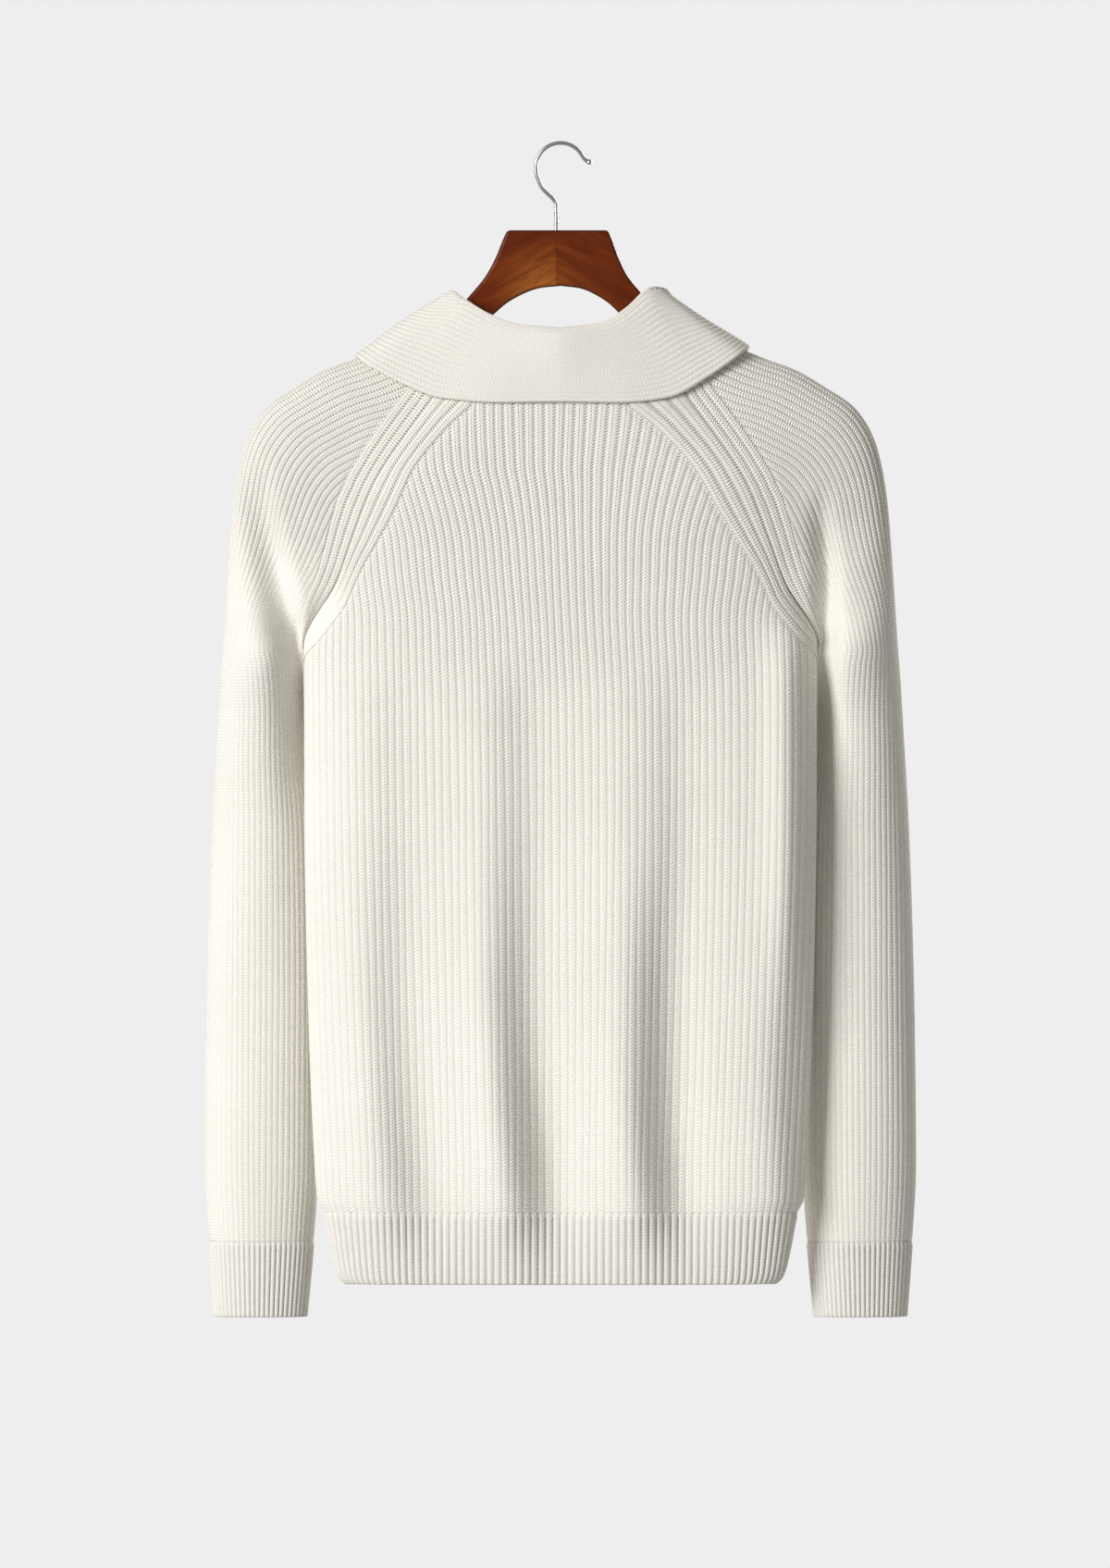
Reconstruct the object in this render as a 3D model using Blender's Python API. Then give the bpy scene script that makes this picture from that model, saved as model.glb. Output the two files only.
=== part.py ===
"""V-neck sweater on a hanger.

A ribbed raglan pullover with a folded shawl collar hangs on a contoured wooden
hanger with a wire hook.  The front faces -Y, the back +Y and Z is up.  The
origin is the underside of the hook's crown, where a rail would hold it.  Sizes
are in millimetres and the meshes are written in metres.
"""

import math
from functools import lru_cache
from typing import NamedTuple

import bmesh
import bpy
import numpy as np
from mathutils import Vector

MM = 0.001

# Cloth
WALL = 2.2              # knitted wall between its plain inside and its outside
RIB_RISE = 0.7          # a rib's crest over the wall's outside
RIB_SINK = 0.4          # a groove under it
SEAM_GAP = 0.4          # between two pieces at a seam
ARMPIT_GAP = 2.6        # more, where three pieces meet at the armpit
ARMPIT_EASE = 90.0      # and over this much of the raglan seam
INNER_TAPER = 0.6       # the plain inside stops this much short of a seam
PLAIN_STEP = 4          # a band along a seam keeps one column of so many
BODY_INNER_STEP = 5     # and so do the insides of the body,
HEM_INNER_STEP = 7      # of the hem,
SLEEVE_INNER_STEP = 4   # of the sleeves and the collar,
CUFF_INNER_STEP = 8     # and of the cuffs

# Body
BODY_RIBS = 35          # ribs from the centre line to the side seam
HEM_SEAM_HEIGHT = -830.5
HEM_HEIGHT = -886.7
BODY_ROUNDNESS = 2.6    # 2 makes a level slice an ellipse, more a box
BODY_ROWS = (HEM_SEAM_HEIGHT, -760.0, -450.0)   # heights of the points up a rib
YOKE_SHARES = (0.5,)    # and from there to the raglan border, as shares of the way
BAND_RIBS = 3           # ribs that run along each raglan seam
BAND_RISE = 12.0        # how much higher a band's seam side is than its border
BAND_CORNER = 6         # half ribs of the band beside the neck's corner, kept whole
BAND_EASE = 6.0         # ribs over which the band widens to that corner
BODY_THIN_RIBS = 27     # past this rib the band bends too much to be thinned
BORDER_RUN_OUT = 7.0    # ribs sink to the border over this height,
BORDER_RUN_SHARE = 0.2  # or over this share of a short rib

# Folds that fall from the shoulder blades to the hem
FOLD_SPACING = 100.0
FOLD_LIFT = 3.6
BACK_FOLD_SHIFT = 5.0
FRONT_FOLD_SHIFT = 40.0

# Sleeves
SLEEVE_RIBS = 26        # ribs from the top line to the underarm seam
SLEEVE_NECK_RIB = 3.0   # the sleeve's centre ribs run right up to the neck seam
SLEEVE_THIN_RIBS = 17   # past this rib the band bends too much to be thinned
SLEEVE_ROWS = (0.0, 150.0, 425.0)   # places along the sleeve of the points up a rib
CAP_SHARES = (0.3, 0.52, 0.65, 0.93)    # and from there to the raglan border
SLEEVE_BAND_RUN = 14.0  # the band's border meets the underarm seam so far down
SLEEVE_BAND_EASE = 4.0  # ribs beside the underarm seam over which it comes down
SLEEVE_REACH = 0.42     # how far the shoulder keeps the seam's direction
SLEEVE_SWELL = 5.0      # how much it swells beside the seam
SLEEVE_FLATTEN = 0.35   # how much flatter its top is than a free sleeve's
CUFF_SEAM = 0.0         # along the sleeve's top line
ARMPIT_ALONG = 463.0
CREASE_WIDTH = 13.0     # of the trough from the shoulder to the armpit

# Collar
COLLAR_RIBS = 18
COLLAR_STATIONS = 13    # from the centre back to the V, each side
COLLAR_FOLD = 4.8       # half the width of the folded edge
COLLAR_BEND = 5.8       # how far below the fold it is that wide,
COLLAR_BEND_SHARE = 0.45    # or this share of a narrow stand
COLLAR_RELIEF = 0.35    # rib relief of the softer collar knit

# Hanger
HANGER_THICKNESS = 12.0
HANGER_EDGE = 3.0       # radius of its edges
HANGER_TIP = 7.0        # how far its rounded ends stand out
HOOK_RADIUS = 1.5
HOOK_BALL = 1.9
HOOK_BORE = 1.9         # radius of the hanger's hole for the stem


class BodySection(NamedTuple):
    """A level slice through the body, or through the yoke between the raglan seams."""

    height: float
    half_width: float
    back_y: float
    front_y: float
    back_edge_y: float
    front_edge_y: float
    edge_root: float    # 0.38 turns the edge right round, 1 lets it slope
    ribs: float         # from the centre line to the seam
    folds: float        # share of the full fold depth
    lean: float         # shift of the back's centre line toward +X


BODY_SECTIONS = (
    BodySection(-886.7, 171.0, 25.0, -24.0, 3.0, 3.0, 0.38, 35.0, 0.35, 0.0),
    BodySection(-860.0, 180.0, 26.5, -25.0, 4.0, 4.0, 0.38, 35.0, 0.45, 0.0),
    BodySection(-830.5, 188.0, 29.0, -27.0, 5.0, 5.0, 0.38, 35.0, 0.85, 0.0),
    BodySection(-790.0, 191.5, 31.0, -29.0, 6.0, 6.0, 0.38, 35.0, 1.0, 0.0),
    BodySection(-679.0, 196.0, 35.0, -33.0, 7.0, 7.0, 0.38, 35.0, 0.7, 0.0),
    BodySection(-535.0, 199.0, 40.0, -37.0, 8.0, 8.0, 0.38, 35.0, 0.2, 0.0),
    BodySection(-434.0, 199.4, 42.0, -38.0, 8.0, 8.0, 0.39, 35.0, 0.0, 1.0),
    BodySection(-391.0, 199.8, 42.0, -38.0, 8.0, 8.0, 0.42, 35.0, 0.0, 3.0),
    BodySection(-340.0, 174.0, 41.5, -38.0, 26.0, -18.0, 0.75, 28.2, 0.0, 6.0),
    BodySection(-304.0, 161.0, 41.0, -38.0, 31.0, -25.0, 0.95, 25.0, 0.0, 8.0),
    BodySection(-268.0, 147.0, 40.5, -38.5, 33.0, -29.0, 1.0, 20.8, 0.0, 11.0),
    BodySection(-250.0, 137.0, 39.5, -38.5, 32.5, -30.0, 1.0, 18.4, 0.0, 13.0),
    BodySection(-199.0, 101.0, 34.0, -37.0, 28.0, -29.0, 1.0, 12.6, 0.0, 13.0),
    BodySection(-148.0, 66.0, 26.0, -34.0, 18.0, -23.0, 1.0, 8.4, 0.0, 11.0),
)


class BorderPoint(NamedTuple):
    """Where a column of body ribs ends on the raglan band's border."""

    rib: float
    height: float


BODY_BORDER = (
    BorderPoint(4.6, -166.0),
    BorderPoint(7.7, -205.0),
    BorderPoint(9.9, -218.0),
    BorderPoint(13.3, -242.0),
    BorderPoint(15.6, -260.0),
    BorderPoint(18.1, -281.0),
    BorderPoint(21.2, -304.0),
    BorderPoint(24.0, -327.0),
    BorderPoint(27.3, -359.0),
    BorderPoint(31.5, -388.0),
    BorderPoint(35.0, -403.0),
)


class Neckline(NamedTuple):
    """The neck edge of a body panel."""

    corner_rib: float   # where it meets the raglan border
    centre_height: float
    power: float        # 1 is a straight V, 2 a round scoop
    seam_top: float     # height of the raglan seam's upper end


BACK_NECK = Neckline(4.6, -168.0, 2.0, -154.0)
FRONT_NECK = Neckline(8.0, -345.0, 1.0, -166.0)


class SleeveSection(NamedTuple):
    """A slice across the sleeve, from its top line to the underarm or raglan seam."""

    along: float        # distance along the top line from the cuff seam
    top_x: float
    top_y: float
    top_height: float
    under_x: float      # underarm line, below the armpit
    under_y: float
    back_seam: float    # heights of the raglan seams, above the armpit
    front_seam: float
    depth: float        # from the top line's level to the back and to the front
    cling: float        # 0 is a free tube, 1 runs on from the body's surface
    ribs: float
    field_ribs: float
    crease: float       # depth of the trough that runs into the armpit


SLEEVE_SECTIONS = (
    SleeveSection(-59.5, 270.0, -28.0, -913.0, 198.0, -28.0, 0, 0, 23.0, 0.0, 26.0, 26.0, 0.0),
    SleeveSection(0.0, 274.3, -28.0, -853.6, 192.5, -28.0, 0, 0, 25.0, 0.0, 26.0, 26.0, 0.0),
    SleeveSection(60.0, 277.5, -30.0, -794.0, 189.0, -30.0, 0, 0, 28.0, 0.0, 26.0, 26.0, 0.0),
    SleeveSection(168.0, 276.5, -33.0, -686.0, 189.0, -33.0, 0, 0, 30.0, 0.0, 26.0, 26.0, 0.0),
    SleeveSection(319.0, 272.0, -34.0, -535.0, 191.0, -34.0, 0, 0, 33.0, 0.0, 26.0, 26.0, 0.0),
    SleeveSection(404.0, 267.0, -20.0, -450.0, 198.5, -22.0, 0, 0, 36.0, 0.0, 26.0, 26.0, 0.0),
    SleeveSection(449.0, 264.0, -10.0, -405.0, 202.5, -2.0, 0, 0, 38.0, 0.0, 26.0, 26.0, 0.0),
    SleeveSection(463.0, 262.8, -8.0, -391.0, 200.6, 8.0, -391.0, -391.0, 38.0, 0.1, 26.0, 24.6, 1.0),
    SleeveSection(524.0, 258.5, -4.0, -330.0, 0, 0, -356.0, -356.0, 37.0, 0.7, 25.0, 21.4, 4.0),
    SleeveSection(578.0, 254.0, -1.0, -276.0, 0, 0, -322.0, -322.0, 35.0, 1.0, 24.0, 20.0, 3.0),
    SleeveSection(622.0, 245.5, 0.0, -233.0, 0, 0, -296.0, -296.0, 33.0, 1.0, 23.0, 18.8, 0.0),
    SleeveSection(656.0, 228.6, 0.0, -204.0, 0, 0, -278.0, -278.0, 31.0, 1.0, 21.4, 17.4, 0.0),
    SleeveSection(682.0, 207.0, 0.0, -189.7, 0, 0, -262.0, -262.0, 29.0, 1.0, 19.3, 15.4, 0.0),
    SleeveSection(710.0, 183.0, 0.0, -175.3, 0, 0, -243.0, -243.0, 27.0, 1.0, 16.8, 13.0, 0.0),
    SleeveSection(738.0, 157.0, 0.0, -166.0, 0, 0, -222.0, -222.0, 25.0, 1.0, 13.8, 10.0, 0.0),
    SleeveSection(780.0, 120.0, 0.0, -149.0, 0, 0, -185.0, -191.0, 22.0, 1.0, 9.8, 6.0, 0.0),
    SleeveSection(827.0, 80.0, 0.0, -122.0, 0, 0, -154.0, -166.0, 18.0, 1.0, 7.2, 3.0, 0.0),
)


class CreasePoint(NamedTuple):
    """A point of the sleeve's trough."""

    height: float
    x: float


CREASE_LINE = (
    CreasePoint(-391.0, 206.0),
    CreasePoint(-343.0, 219.0),
    CreasePoint(-310.0, 227.0),
    CreasePoint(-283.0, 234.0),
)


class CollarSection(NamedTuple):
    """A slice across the collar: neck seam, folded edge and free edge."""

    seam: tuple
    fold: tuple
    edge: tuple


COLLAR_SECTIONS = (
    CollarSection((0.0, 25.6, -166.5), (0.0, 29.0, -143.0), (0.0, 38.8, -201.0)),
    CollarSection((26.0, 25.5, -166.0), (32.0, 27.8, -140.0), (48.0, 38.3, -201.5)),
    CollarSection((46.0, 24.0, -164.0), (56.0, 23.5, -129.5), (92.0, 34.5, -200.0)),
    CollarSection((67.0, 16.5, -152.5), (72.0, 16.0, -118.5), (124.0, 27.5, -183.5)),
    CollarSection((73.6, 12.0, -132.0), (80.0, 9.5, -113.2), (149.0, 20.5, -168.0)),
    CollarSection((76.8, 1.0, -119.8), (84.0, 1.0, -111.6), (160.5, 4.5, -159.4)),
    CollarSection((75.6, -9.5, -122.0), (83.0, -11.5, -114.0), (159.0, -13.0, -162.0)),
    CollarSection((74.8, -17.5, -137.5), (80.5, -23.5, -126.0), (153.5, -26.5, -184.0)),
    CollarSection((74.6, -25.5, -163.5), (77.0, -33.0, -149.0), (142.0, -30.5, -213.0)),
    CollarSection((62.0, -34.5, -205.4), (65.0, -42.0, -192.0), (124.0, -37.5, -245.0)),
    CollarSection((44.2, -38.5, -240.0), (47.0, -47.0, -231.0), (100.0, -41.0, -278.0)),
    CollarSection((28.0, -40.2, -273.0), (30.0, -48.5, -267.0), (70.0, -43.0, -310.0)),
    CollarSection((12.5, -40.2, -308.0), (14.0, -48.5, -303.0), (37.0, -43.5, -342.0)),
    CollarSection((3.0, -40.2, -341.0), (3.5, -48.5, -336.0), (3.5, -43.5, -374.0)),
)


class HangerPoint(NamedTuple):
    """A point of the hanger's upper or lower edge, seen from the front."""

    x: float
    height: float


HANGER_TOP = (
    HangerPoint(0.0, -66.6),
    HangerPoint(42.0, -66.6),
    HangerPoint(45.5, -75.0),
    HangerPoint(51.0, -89.0),
    HangerPoint(59.5, -104.0),
    HangerPoint(72.0, -119.0),
    HangerPoint(82.0, -131.5),
    HangerPoint(98.0, -143.0),
    HangerPoint(135.0, -163.0),
    HangerPoint(175.0, -183.0),
    HangerPoint(205.0, -201.0),
)
HANGER_UNDERSIDE = (
    HangerPoint(0.0, -109.8),
    HangerPoint(20.0, -112.5),
    HangerPoint(40.0, -122.0),
    HangerPoint(54.0, -133.5),
    HangerPoint(80.0, -152.0),
    HangerPoint(115.0, -171.0),
    HangerPoint(160.0, -194.0),
    HangerPoint(200.0, -214.0),
)

# Hook, as a circle arc with its neck and its open end, seen from the front
HOOK_CIRCLE_HEIGHT = -18.0
HOOK_CIRCLE_RADIUS = 19.4
HOOK_STEM_X = 2.3
HOOK_STEM_BEND = -47.0
HOOK_STEM_DEPTH = 14.0  # how deep the stem goes into the hanger
HOOK_ARC_FROM = 197.0   # degrees, on the neck's side
HOOK_ARC_TO = 26.0      # degrees, on the open side
HOOK_ARC_POINTS = 12
HOOK_NECK = ((4.0, -43.0), (13.6, -33.5))
HOOK_END = ((-21.0, -12.6), (-24.0, -13.3))


def column(rows, name):
    """One named column of a table as an array."""
    return np.array([getattr(row, name) for row in rows], dtype=float)


def smooth_between(knots, values, at):
    """A smooth curve through a table's rows that doesn't overshoot them."""
    at = min(max(at, knots[0]), knots[-1])
    index = min(max(int(np.searchsorted(knots, at)) - 1, 0), len(knots) - 2)
    steps = np.diff(knots)
    slopes = np.diff(values) / steps

    def tangent(i):
        if i == 0:
            return slopes[0]
        if i == len(slopes):
            return slopes[-1]
        before, after = slopes[i - 1], slopes[i]
        if before * after <= 0.0:
            return 0.0
        return 2.0 * before * after / (before + after)

    width = steps[index]
    t = (at - knots[index]) / width
    start = values[index] * (1 + 2 * t) * (1 - t) ** 2 + tangent(index) * width * t * (1 - t) ** 2
    end = values[index + 1] * t * t * (3 - 2 * t) - tangent(index + 1) * width * t * t * (1 - t)
    return start + end


def blend_row(rows, key, at):
    """The table's row at a place between its rows, as a dict of its columns."""
    knots = column(rows, key)
    names = [name for name in rows[0]._fields if name != key]
    return {name: smooth_between(knots, column(rows, name), at) for name in names}


def walk(points, share):
    """The point at a share of an open polyline's length, with its whole length."""
    steps = np.linalg.norm(np.diff(points, axis=0), axis=1)
    reached = np.concatenate(([0.0], np.cumsum(steps)))
    at = share * reached[-1]
    return np.array([np.interp(at, reached, points[:, axis]) for axis in range(3)]), reached[-1]


def fold_lift(x, share, folds, shift):
    """How far the soft hanging folds push the cloth out, fading toward the side seam."""
    fade = 1.0 - share ** 4
    return -FOLD_LIFT * folds * fade * math.cos(2.0 * math.pi * (x - shift) / FOLD_SPACING)


@lru_cache(maxsize=None)
def body_arc(height, back):
    """Half a level section of a body panel, from its centre line to its seam."""
    row = blend_row(BODY_SECTIONS, "height", height)
    centre = row["back_y"] if back else row["front_y"]
    edge = row["back_edge_y"] if back else row["front_edge_y"]
    points = []
    for angle in np.linspace(0.0, math.pi / 2.0, 49):
        across = math.sin(angle)
        y = edge + (centre - edge) * max(0.0, 1.0 - across ** BODY_ROUNDNESS) ** row["edge_root"]
        points.append((row["half_width"] * across, y, height))
    return np.array(points), row


def body_point(rib, height, back, trim=0.0):
    """A point of a body panel's outside, at a rib counted from the centre line."""
    points, row = body_arc(round(height, 4), back)
    share = min(abs(rib) / row["ribs"], 1.0)
    length = np.linalg.norm(np.diff(points, axis=0), axis=1).sum()
    point, _ = walk(points, min(share, 1.0 - trim / length))
    side = 1.0 if rib >= 0 else -1.0
    x = side * point[0]
    lean = row["lean"] * (1.0 - share ** 2) if back else 0.0
    shift = BACK_FOLD_SHIFT if back else FRONT_FOLD_SHIFT
    outward = 1.0 if back else -1.0
    y = point[1] + outward * fold_lift(x, share, row["folds"], shift)
    return np.array((x + lean, y, height))


def crease_push(x, height, depth):
    """How far the trough between shoulder and armpit pulls the sleeve in."""
    centre = np.interp(height, column(CREASE_LINE, "height"), column(CREASE_LINE, "x"))
    return depth * math.exp(-((x - centre) / CREASE_WIDTH) ** 2)


@lru_cache(maxsize=None)
def sleeve_arc(along, back):
    """Half a section of the sleeve (on the +X side), from its top line to its seam."""
    row = blend_row(SLEEVE_SECTIONS, "along", along)
    outward = 1.0 if back else -1.0
    top = np.array((row["top_x"], row["top_y"], row["top_height"]))
    depth_way = np.array((0.0, outward, 0.0))
    if along >= ARMPIT_ALONG:
        height = row["back_seam"] if back else row["front_seam"]
        gap = SEAM_GAP + ARMPIT_GAP * max(0.0, 1.0 - (along - ARMPIT_ALONG) / ARMPIT_EASE) ** 2
        seam = body_point(BODY_RIBS, height, back) + np.array((gap, 0.0, 0.0))
    else:
        seam = np.array((row["under_x"], row["under_y"], row["top_height"]))
    cling = row["cling"]
    rise = 4.0 / 3.0 * row["depth"]
    clinging = (top - seam) * SLEEVE_REACH + depth_way * SLEEVE_SWELL
    seam_handle = seam + (1.0 - cling) * depth_way * rise + cling * clinging
    top_handle = top + depth_way * rise * (1.0 - SLEEVE_FLATTEN * cling)
    points = []
    for t in np.linspace(0.0, 1.0, 33):
        point = (top * (1 - t) ** 3 + 3 * top_handle * t * (1 - t) ** 2
                 + 3 * seam_handle * t * t * (1 - t) + seam * t ** 3)
        point[1] -= outward * crease_push(point[0], point[2], row["crease"]) * math.sin(math.pi * t)
        points.append(point)
    return np.array(points), row


def sleeve_point(rib, along):
    """A point of the +X sleeve's outside; ribs count back (+) and front (-) from the top."""
    points, row = sleeve_arc(round(along, 4), rib >= 0)
    point, _ = walk(points, min(abs(rib) / row["ribs"], 1.0))
    return point


class Cloth:
    """One knitted piece: its outside is laid out in grids, then given its wall."""

    def __init__(self):
        self.mesh = bmesh.new()
        self.relief = self.mesh.verts.layers.float.new("relief")
        self.inner = self.mesh.verts.layers.int.new("inner")
        self.plain = self.mesh.verts.layers.int.new("plain")
        self.strand = self.mesh.verts.layers.int.new("strand")

    def lay(self, columns, rows, place, relief, strand=lambda i: i, plain=()):
        """Add a grid whose points place(column, row) gives, in millimetres.

        The columns in `plain` may be thinned, past the grid's first row.
        """
        grid = bmesh.ops.create_grid(self.mesh, x_segments=columns, y_segments=rows, size=0.5)
        for vert in grid["verts"]:
            i = round((vert.co.x + 0.5) * columns)
            j = round((vert.co.y + 0.5) * rows)
            vert.co = Vector(place(i, j)) * MM
            vert[self.relief] = relief(i, j)
            vert[self.strand] = strand(i)
            vert[self.plain] = 1 if i in plain and j else 0

    def weld(self):
        """Join the grids where their edges meet."""
        bmesh.ops.remove_doubles(self.mesh, verts=self.mesh.verts[:], dist=0.02 * MM)

    def raise_wall(self, outward):
        """Give the sheet its wall; the face that lies farthest outward faces out."""
        mesh = self.mesh
        bmesh.ops.recalc_face_normals(mesh, faces=mesh.faces[:])
        mesh.normal_update()
        farthest = max(mesh.faces, key=lambda face: face.calc_center_median().dot(outward))
        if farthest.normal.dot(outward) < 0.0:
            bmesh.ops.reverse_faces(mesh, faces=mesh.faces[:])
            mesh.normal_update()
        outside = mesh.verts[:]
        normals = {vert: vert.normal.copy() for vert in outside}
        inward = {vert: self.taper_step(vert) for vert in outside}
        start = {vert: vert.co.copy() for vert in outside}
        copied = bmesh.ops.duplicate(mesh, geom=mesh.faces[:])
        pairs = {vert: copied["vert_map"][vert] for vert in outside}
        for vert, twin in pairs.items():
            vert.co = start[vert] + normals[vert] * vert[self.relief] * MM
            twin.co = start[vert] - normals[vert] * WALL * MM + inward[vert]
            twin[self.inner] = 1
        inside = [item for item in copied["geom"] if isinstance(item, bmesh.types.BMFace)]
        bmesh.ops.reverse_faces(mesh, faces=inside)
        rims = [edge for edge in mesh.edges if edge.is_boundary]
        for edge in [rim for rim in rims if not rim.verts[0][self.inner]]:
            a, b = edge.verts
            mesh.faces.new((a, b, pairs[b], pairs[a]))
        bmesh.ops.recalc_face_normals(mesh, faces=mesh.faces[:])

    def taper_step(self, vert):
        """A small step away from the edge, for the inside of a seam."""
        if not vert.is_boundary:
            return Vector((0.0, 0.0, 0.0))
        inner = [edge.other_vert(vert) for edge in vert.link_edges if not edge.is_boundary]
        if not inner:
            return Vector((0.0, 0.0, 0.0))
        middle = sum((other.co for other in inner), Vector()) / len(inner)
        return (middle - vert.co).normalized() * INNER_TAPER * MM

    def thin_out(self, inner_step):
        """Merge the columns where ribs don't follow them, so that few faces remain."""
        spare = []
        for edge in self.mesh.edges:
            a, b = edge.verts
            strand = a[self.strand]
            if strand != b[self.strand]:
                continue
            inside = a[self.inner] or b[self.inner]
            plain = a[self.plain] or b[self.plain]
            if (inside and strand % inner_step) or (plain and not inside and strand % PLAIN_STEP):
                spare.append(edge)
        bmesh.ops.dissolve_edges(self.mesh, edges=spare, use_verts=True)

    def finish(self, name, material):
        """Make the object."""
        bmesh.ops.triangulate(self.mesh, faces=[face for face in self.mesh.faces if len(face.verts) > 4])
        return make_object(name, self.mesh, material)


def make_object(name, mesh, material):
    """Put a finished bmesh in the scene as a named object."""
    data = bpy.data.meshes.new(name)
    mesh.to_mesh(data)
    mesh.free()
    data.materials.append(material)
    obj = bpy.data.objects.new(name, data)
    bpy.context.scene.collection.objects.link(obj)
    return obj


def make_material(name, colour, roughness, metallic=0.0):
    """A plain finish."""
    material = bpy.data.materials.new(name)
    material.use_nodes = True
    shader = material.node_tree.nodes["Principled BSDF"]
    shader.inputs["Base Color"].default_value = (*colour, 1.0)
    shader.inputs["Roughness"].default_value = roughness
    shader.inputs["Metallic"].default_value = metallic
    material.diffuse_color = (*colour, 1.0)
    return material


def rib_relief(half_ribs):
    """Relief of a column that is so many half ribs from a groove."""
    return RIB_RISE if half_ribs % 2 else -RIB_SINK


def border_height(rib, neck):
    """The height at which a column of body ribs ends."""
    rib = abs(rib)
    ribs = column(BODY_BORDER, "rib")
    heights = column(BODY_BORDER, "height")
    corner = float(np.interp(neck.corner_rib, ribs, heights))
    if rib < neck.corner_rib:
        share = (rib / neck.corner_rib) ** neck.power
        return neck.centre_height + (corner - neck.centre_height) * share
    return float(np.interp(rib, ribs, heights))


def seam_height(rib, neck):
    """The height of the raglan seam beside the end of a column of ribs."""
    rib = abs(rib)
    corner = border_height(neck.corner_rib, neck)
    spare = neck.seam_top - BAND_RISE - corner
    share = min(max((neck.corner_rib + BAND_EASE - rib) / BAND_EASE, 0.0), 1.0)
    return border_height(rib, neck) + BAND_RISE + spare * share


def column_heights(rib, neck):
    """The heights of a body column's points, from the hem seam up."""
    top = border_height(rib, neck)
    last = BODY_ROWS[-1]
    run_out = min(BORDER_RUN_OUT, BORDER_RUN_SHARE * (top - last))
    upper = [last + (top - run_out - last) * share for share in (*YOKE_SHARES, 1.0)]
    return [*BODY_ROWS, *upper, top]


def body_panel(name, back, neck, material):
    """A front or back panel with its raglan bands."""
    cloth = Cloth()
    columns = 4 * BODY_RIBS
    rows = len(BODY_ROWS) + len(YOKE_SHARES) + 1

    def rib_of(i):
        return i / 2.0 - BODY_RIBS

    def place(i, j):
        rib = rib_of(i)
        return body_point(rib, column_heights(rib, neck)[j], back, trim=SEAM_GAP / 2.0)

    def relief(i, j):
        return -RIB_SINK if j == rows else rib_relief(i)

    cloth.lay(columns, rows, place, relief)
    first = math.ceil(2.0 * neck.corner_rib)
    for side in (-1, 1):
        def band_place(i, j, side=side):
            rib = side * (first + i) / 2.0
            share = j / (2.0 * BAND_RIBS)
            low = border_height(rib, neck)
            high = seam_height(rib, neck)
            _, row = body_arc(round(high, 4), back)
            height = low + (high - low) * share
            at = abs(rib) + (row["ribs"] - abs(rib)) * share
            return body_point(side * at, height, back, trim=SEAM_GAP / 2.0)

        cloth.lay(2 * BODY_RIBS - first, 2 * BAND_RIBS, band_place, lambda i, j: rib_relief(j),
                  lambda i, side=side: side * (first + i) + 2 * BODY_RIBS,
                  plain=range(BAND_CORNER, 2 * BODY_THIN_RIBS - first))
    cloth.weld()
    cloth.raise_wall(Vector((0.0, 1.0 if back else -1.0, 0.0)))
    cloth.thin_out(BODY_INNER_STEP)
    return cloth.finish(name, material)


def hem_band(material):
    """The hem's rib band, all round."""
    cloth = Cloth()
    heights = (HEM_SEAM_HEIGHT - SEAM_GAP, HEM_HEIGHT)
    for back in (True, False):
        def place(i, j, back=back):
            return body_point(i / 2.0 - BODY_RIBS, heights[j], back)

        cloth.lay(4 * BODY_RIBS, len(heights) - 1, place, lambda i, j: rib_relief(i))
    cloth.weld()
    cloth.raise_wall(Vector((0.0, 1.0, 0.0)))
    cloth.thin_out(HEM_INNER_STEP)
    return cloth.finish("hem_band", material)


def sleeve_border(rib):
    """How far up the sleeve a column of ribs ends."""
    cap = [row for row in reversed(SLEEVE_SECTIONS) if row.along >= ARMPIT_ALONG]
    ribs = [*(row.field_ribs for row in cap), float(SLEEVE_RIBS)]
    places = [*(row.along for row in cap), ARMPIT_ALONG - SLEEVE_BAND_RUN]
    return float(np.interp(abs(rib), ribs, places))


def sleeve_seam(rib):
    """How far up the sleeve the seam point beside a column's end lies."""
    border = sleeve_border(rib)
    share = min(max(1.0 - (SLEEVE_RIBS - abs(rib)) / SLEEVE_BAND_EASE, 0.0), 1.0)
    return border + SLEEVE_BAND_RUN * share


def sleeve_heights(rib):
    """Places along the sleeve of a column's points, from the cuff seam up."""
    end = sleeve_border(rib)
    last = SLEEVE_ROWS[-1]
    upper = [last + (end - last) * share for share in (*CAP_SHARES, 1.0)]
    return [*SLEEVE_ROWS, *upper]


def mirrored(point, side):
    """The point on the sleeve of the given side."""
    return (side * point[0], point[1], point[2])


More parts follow.
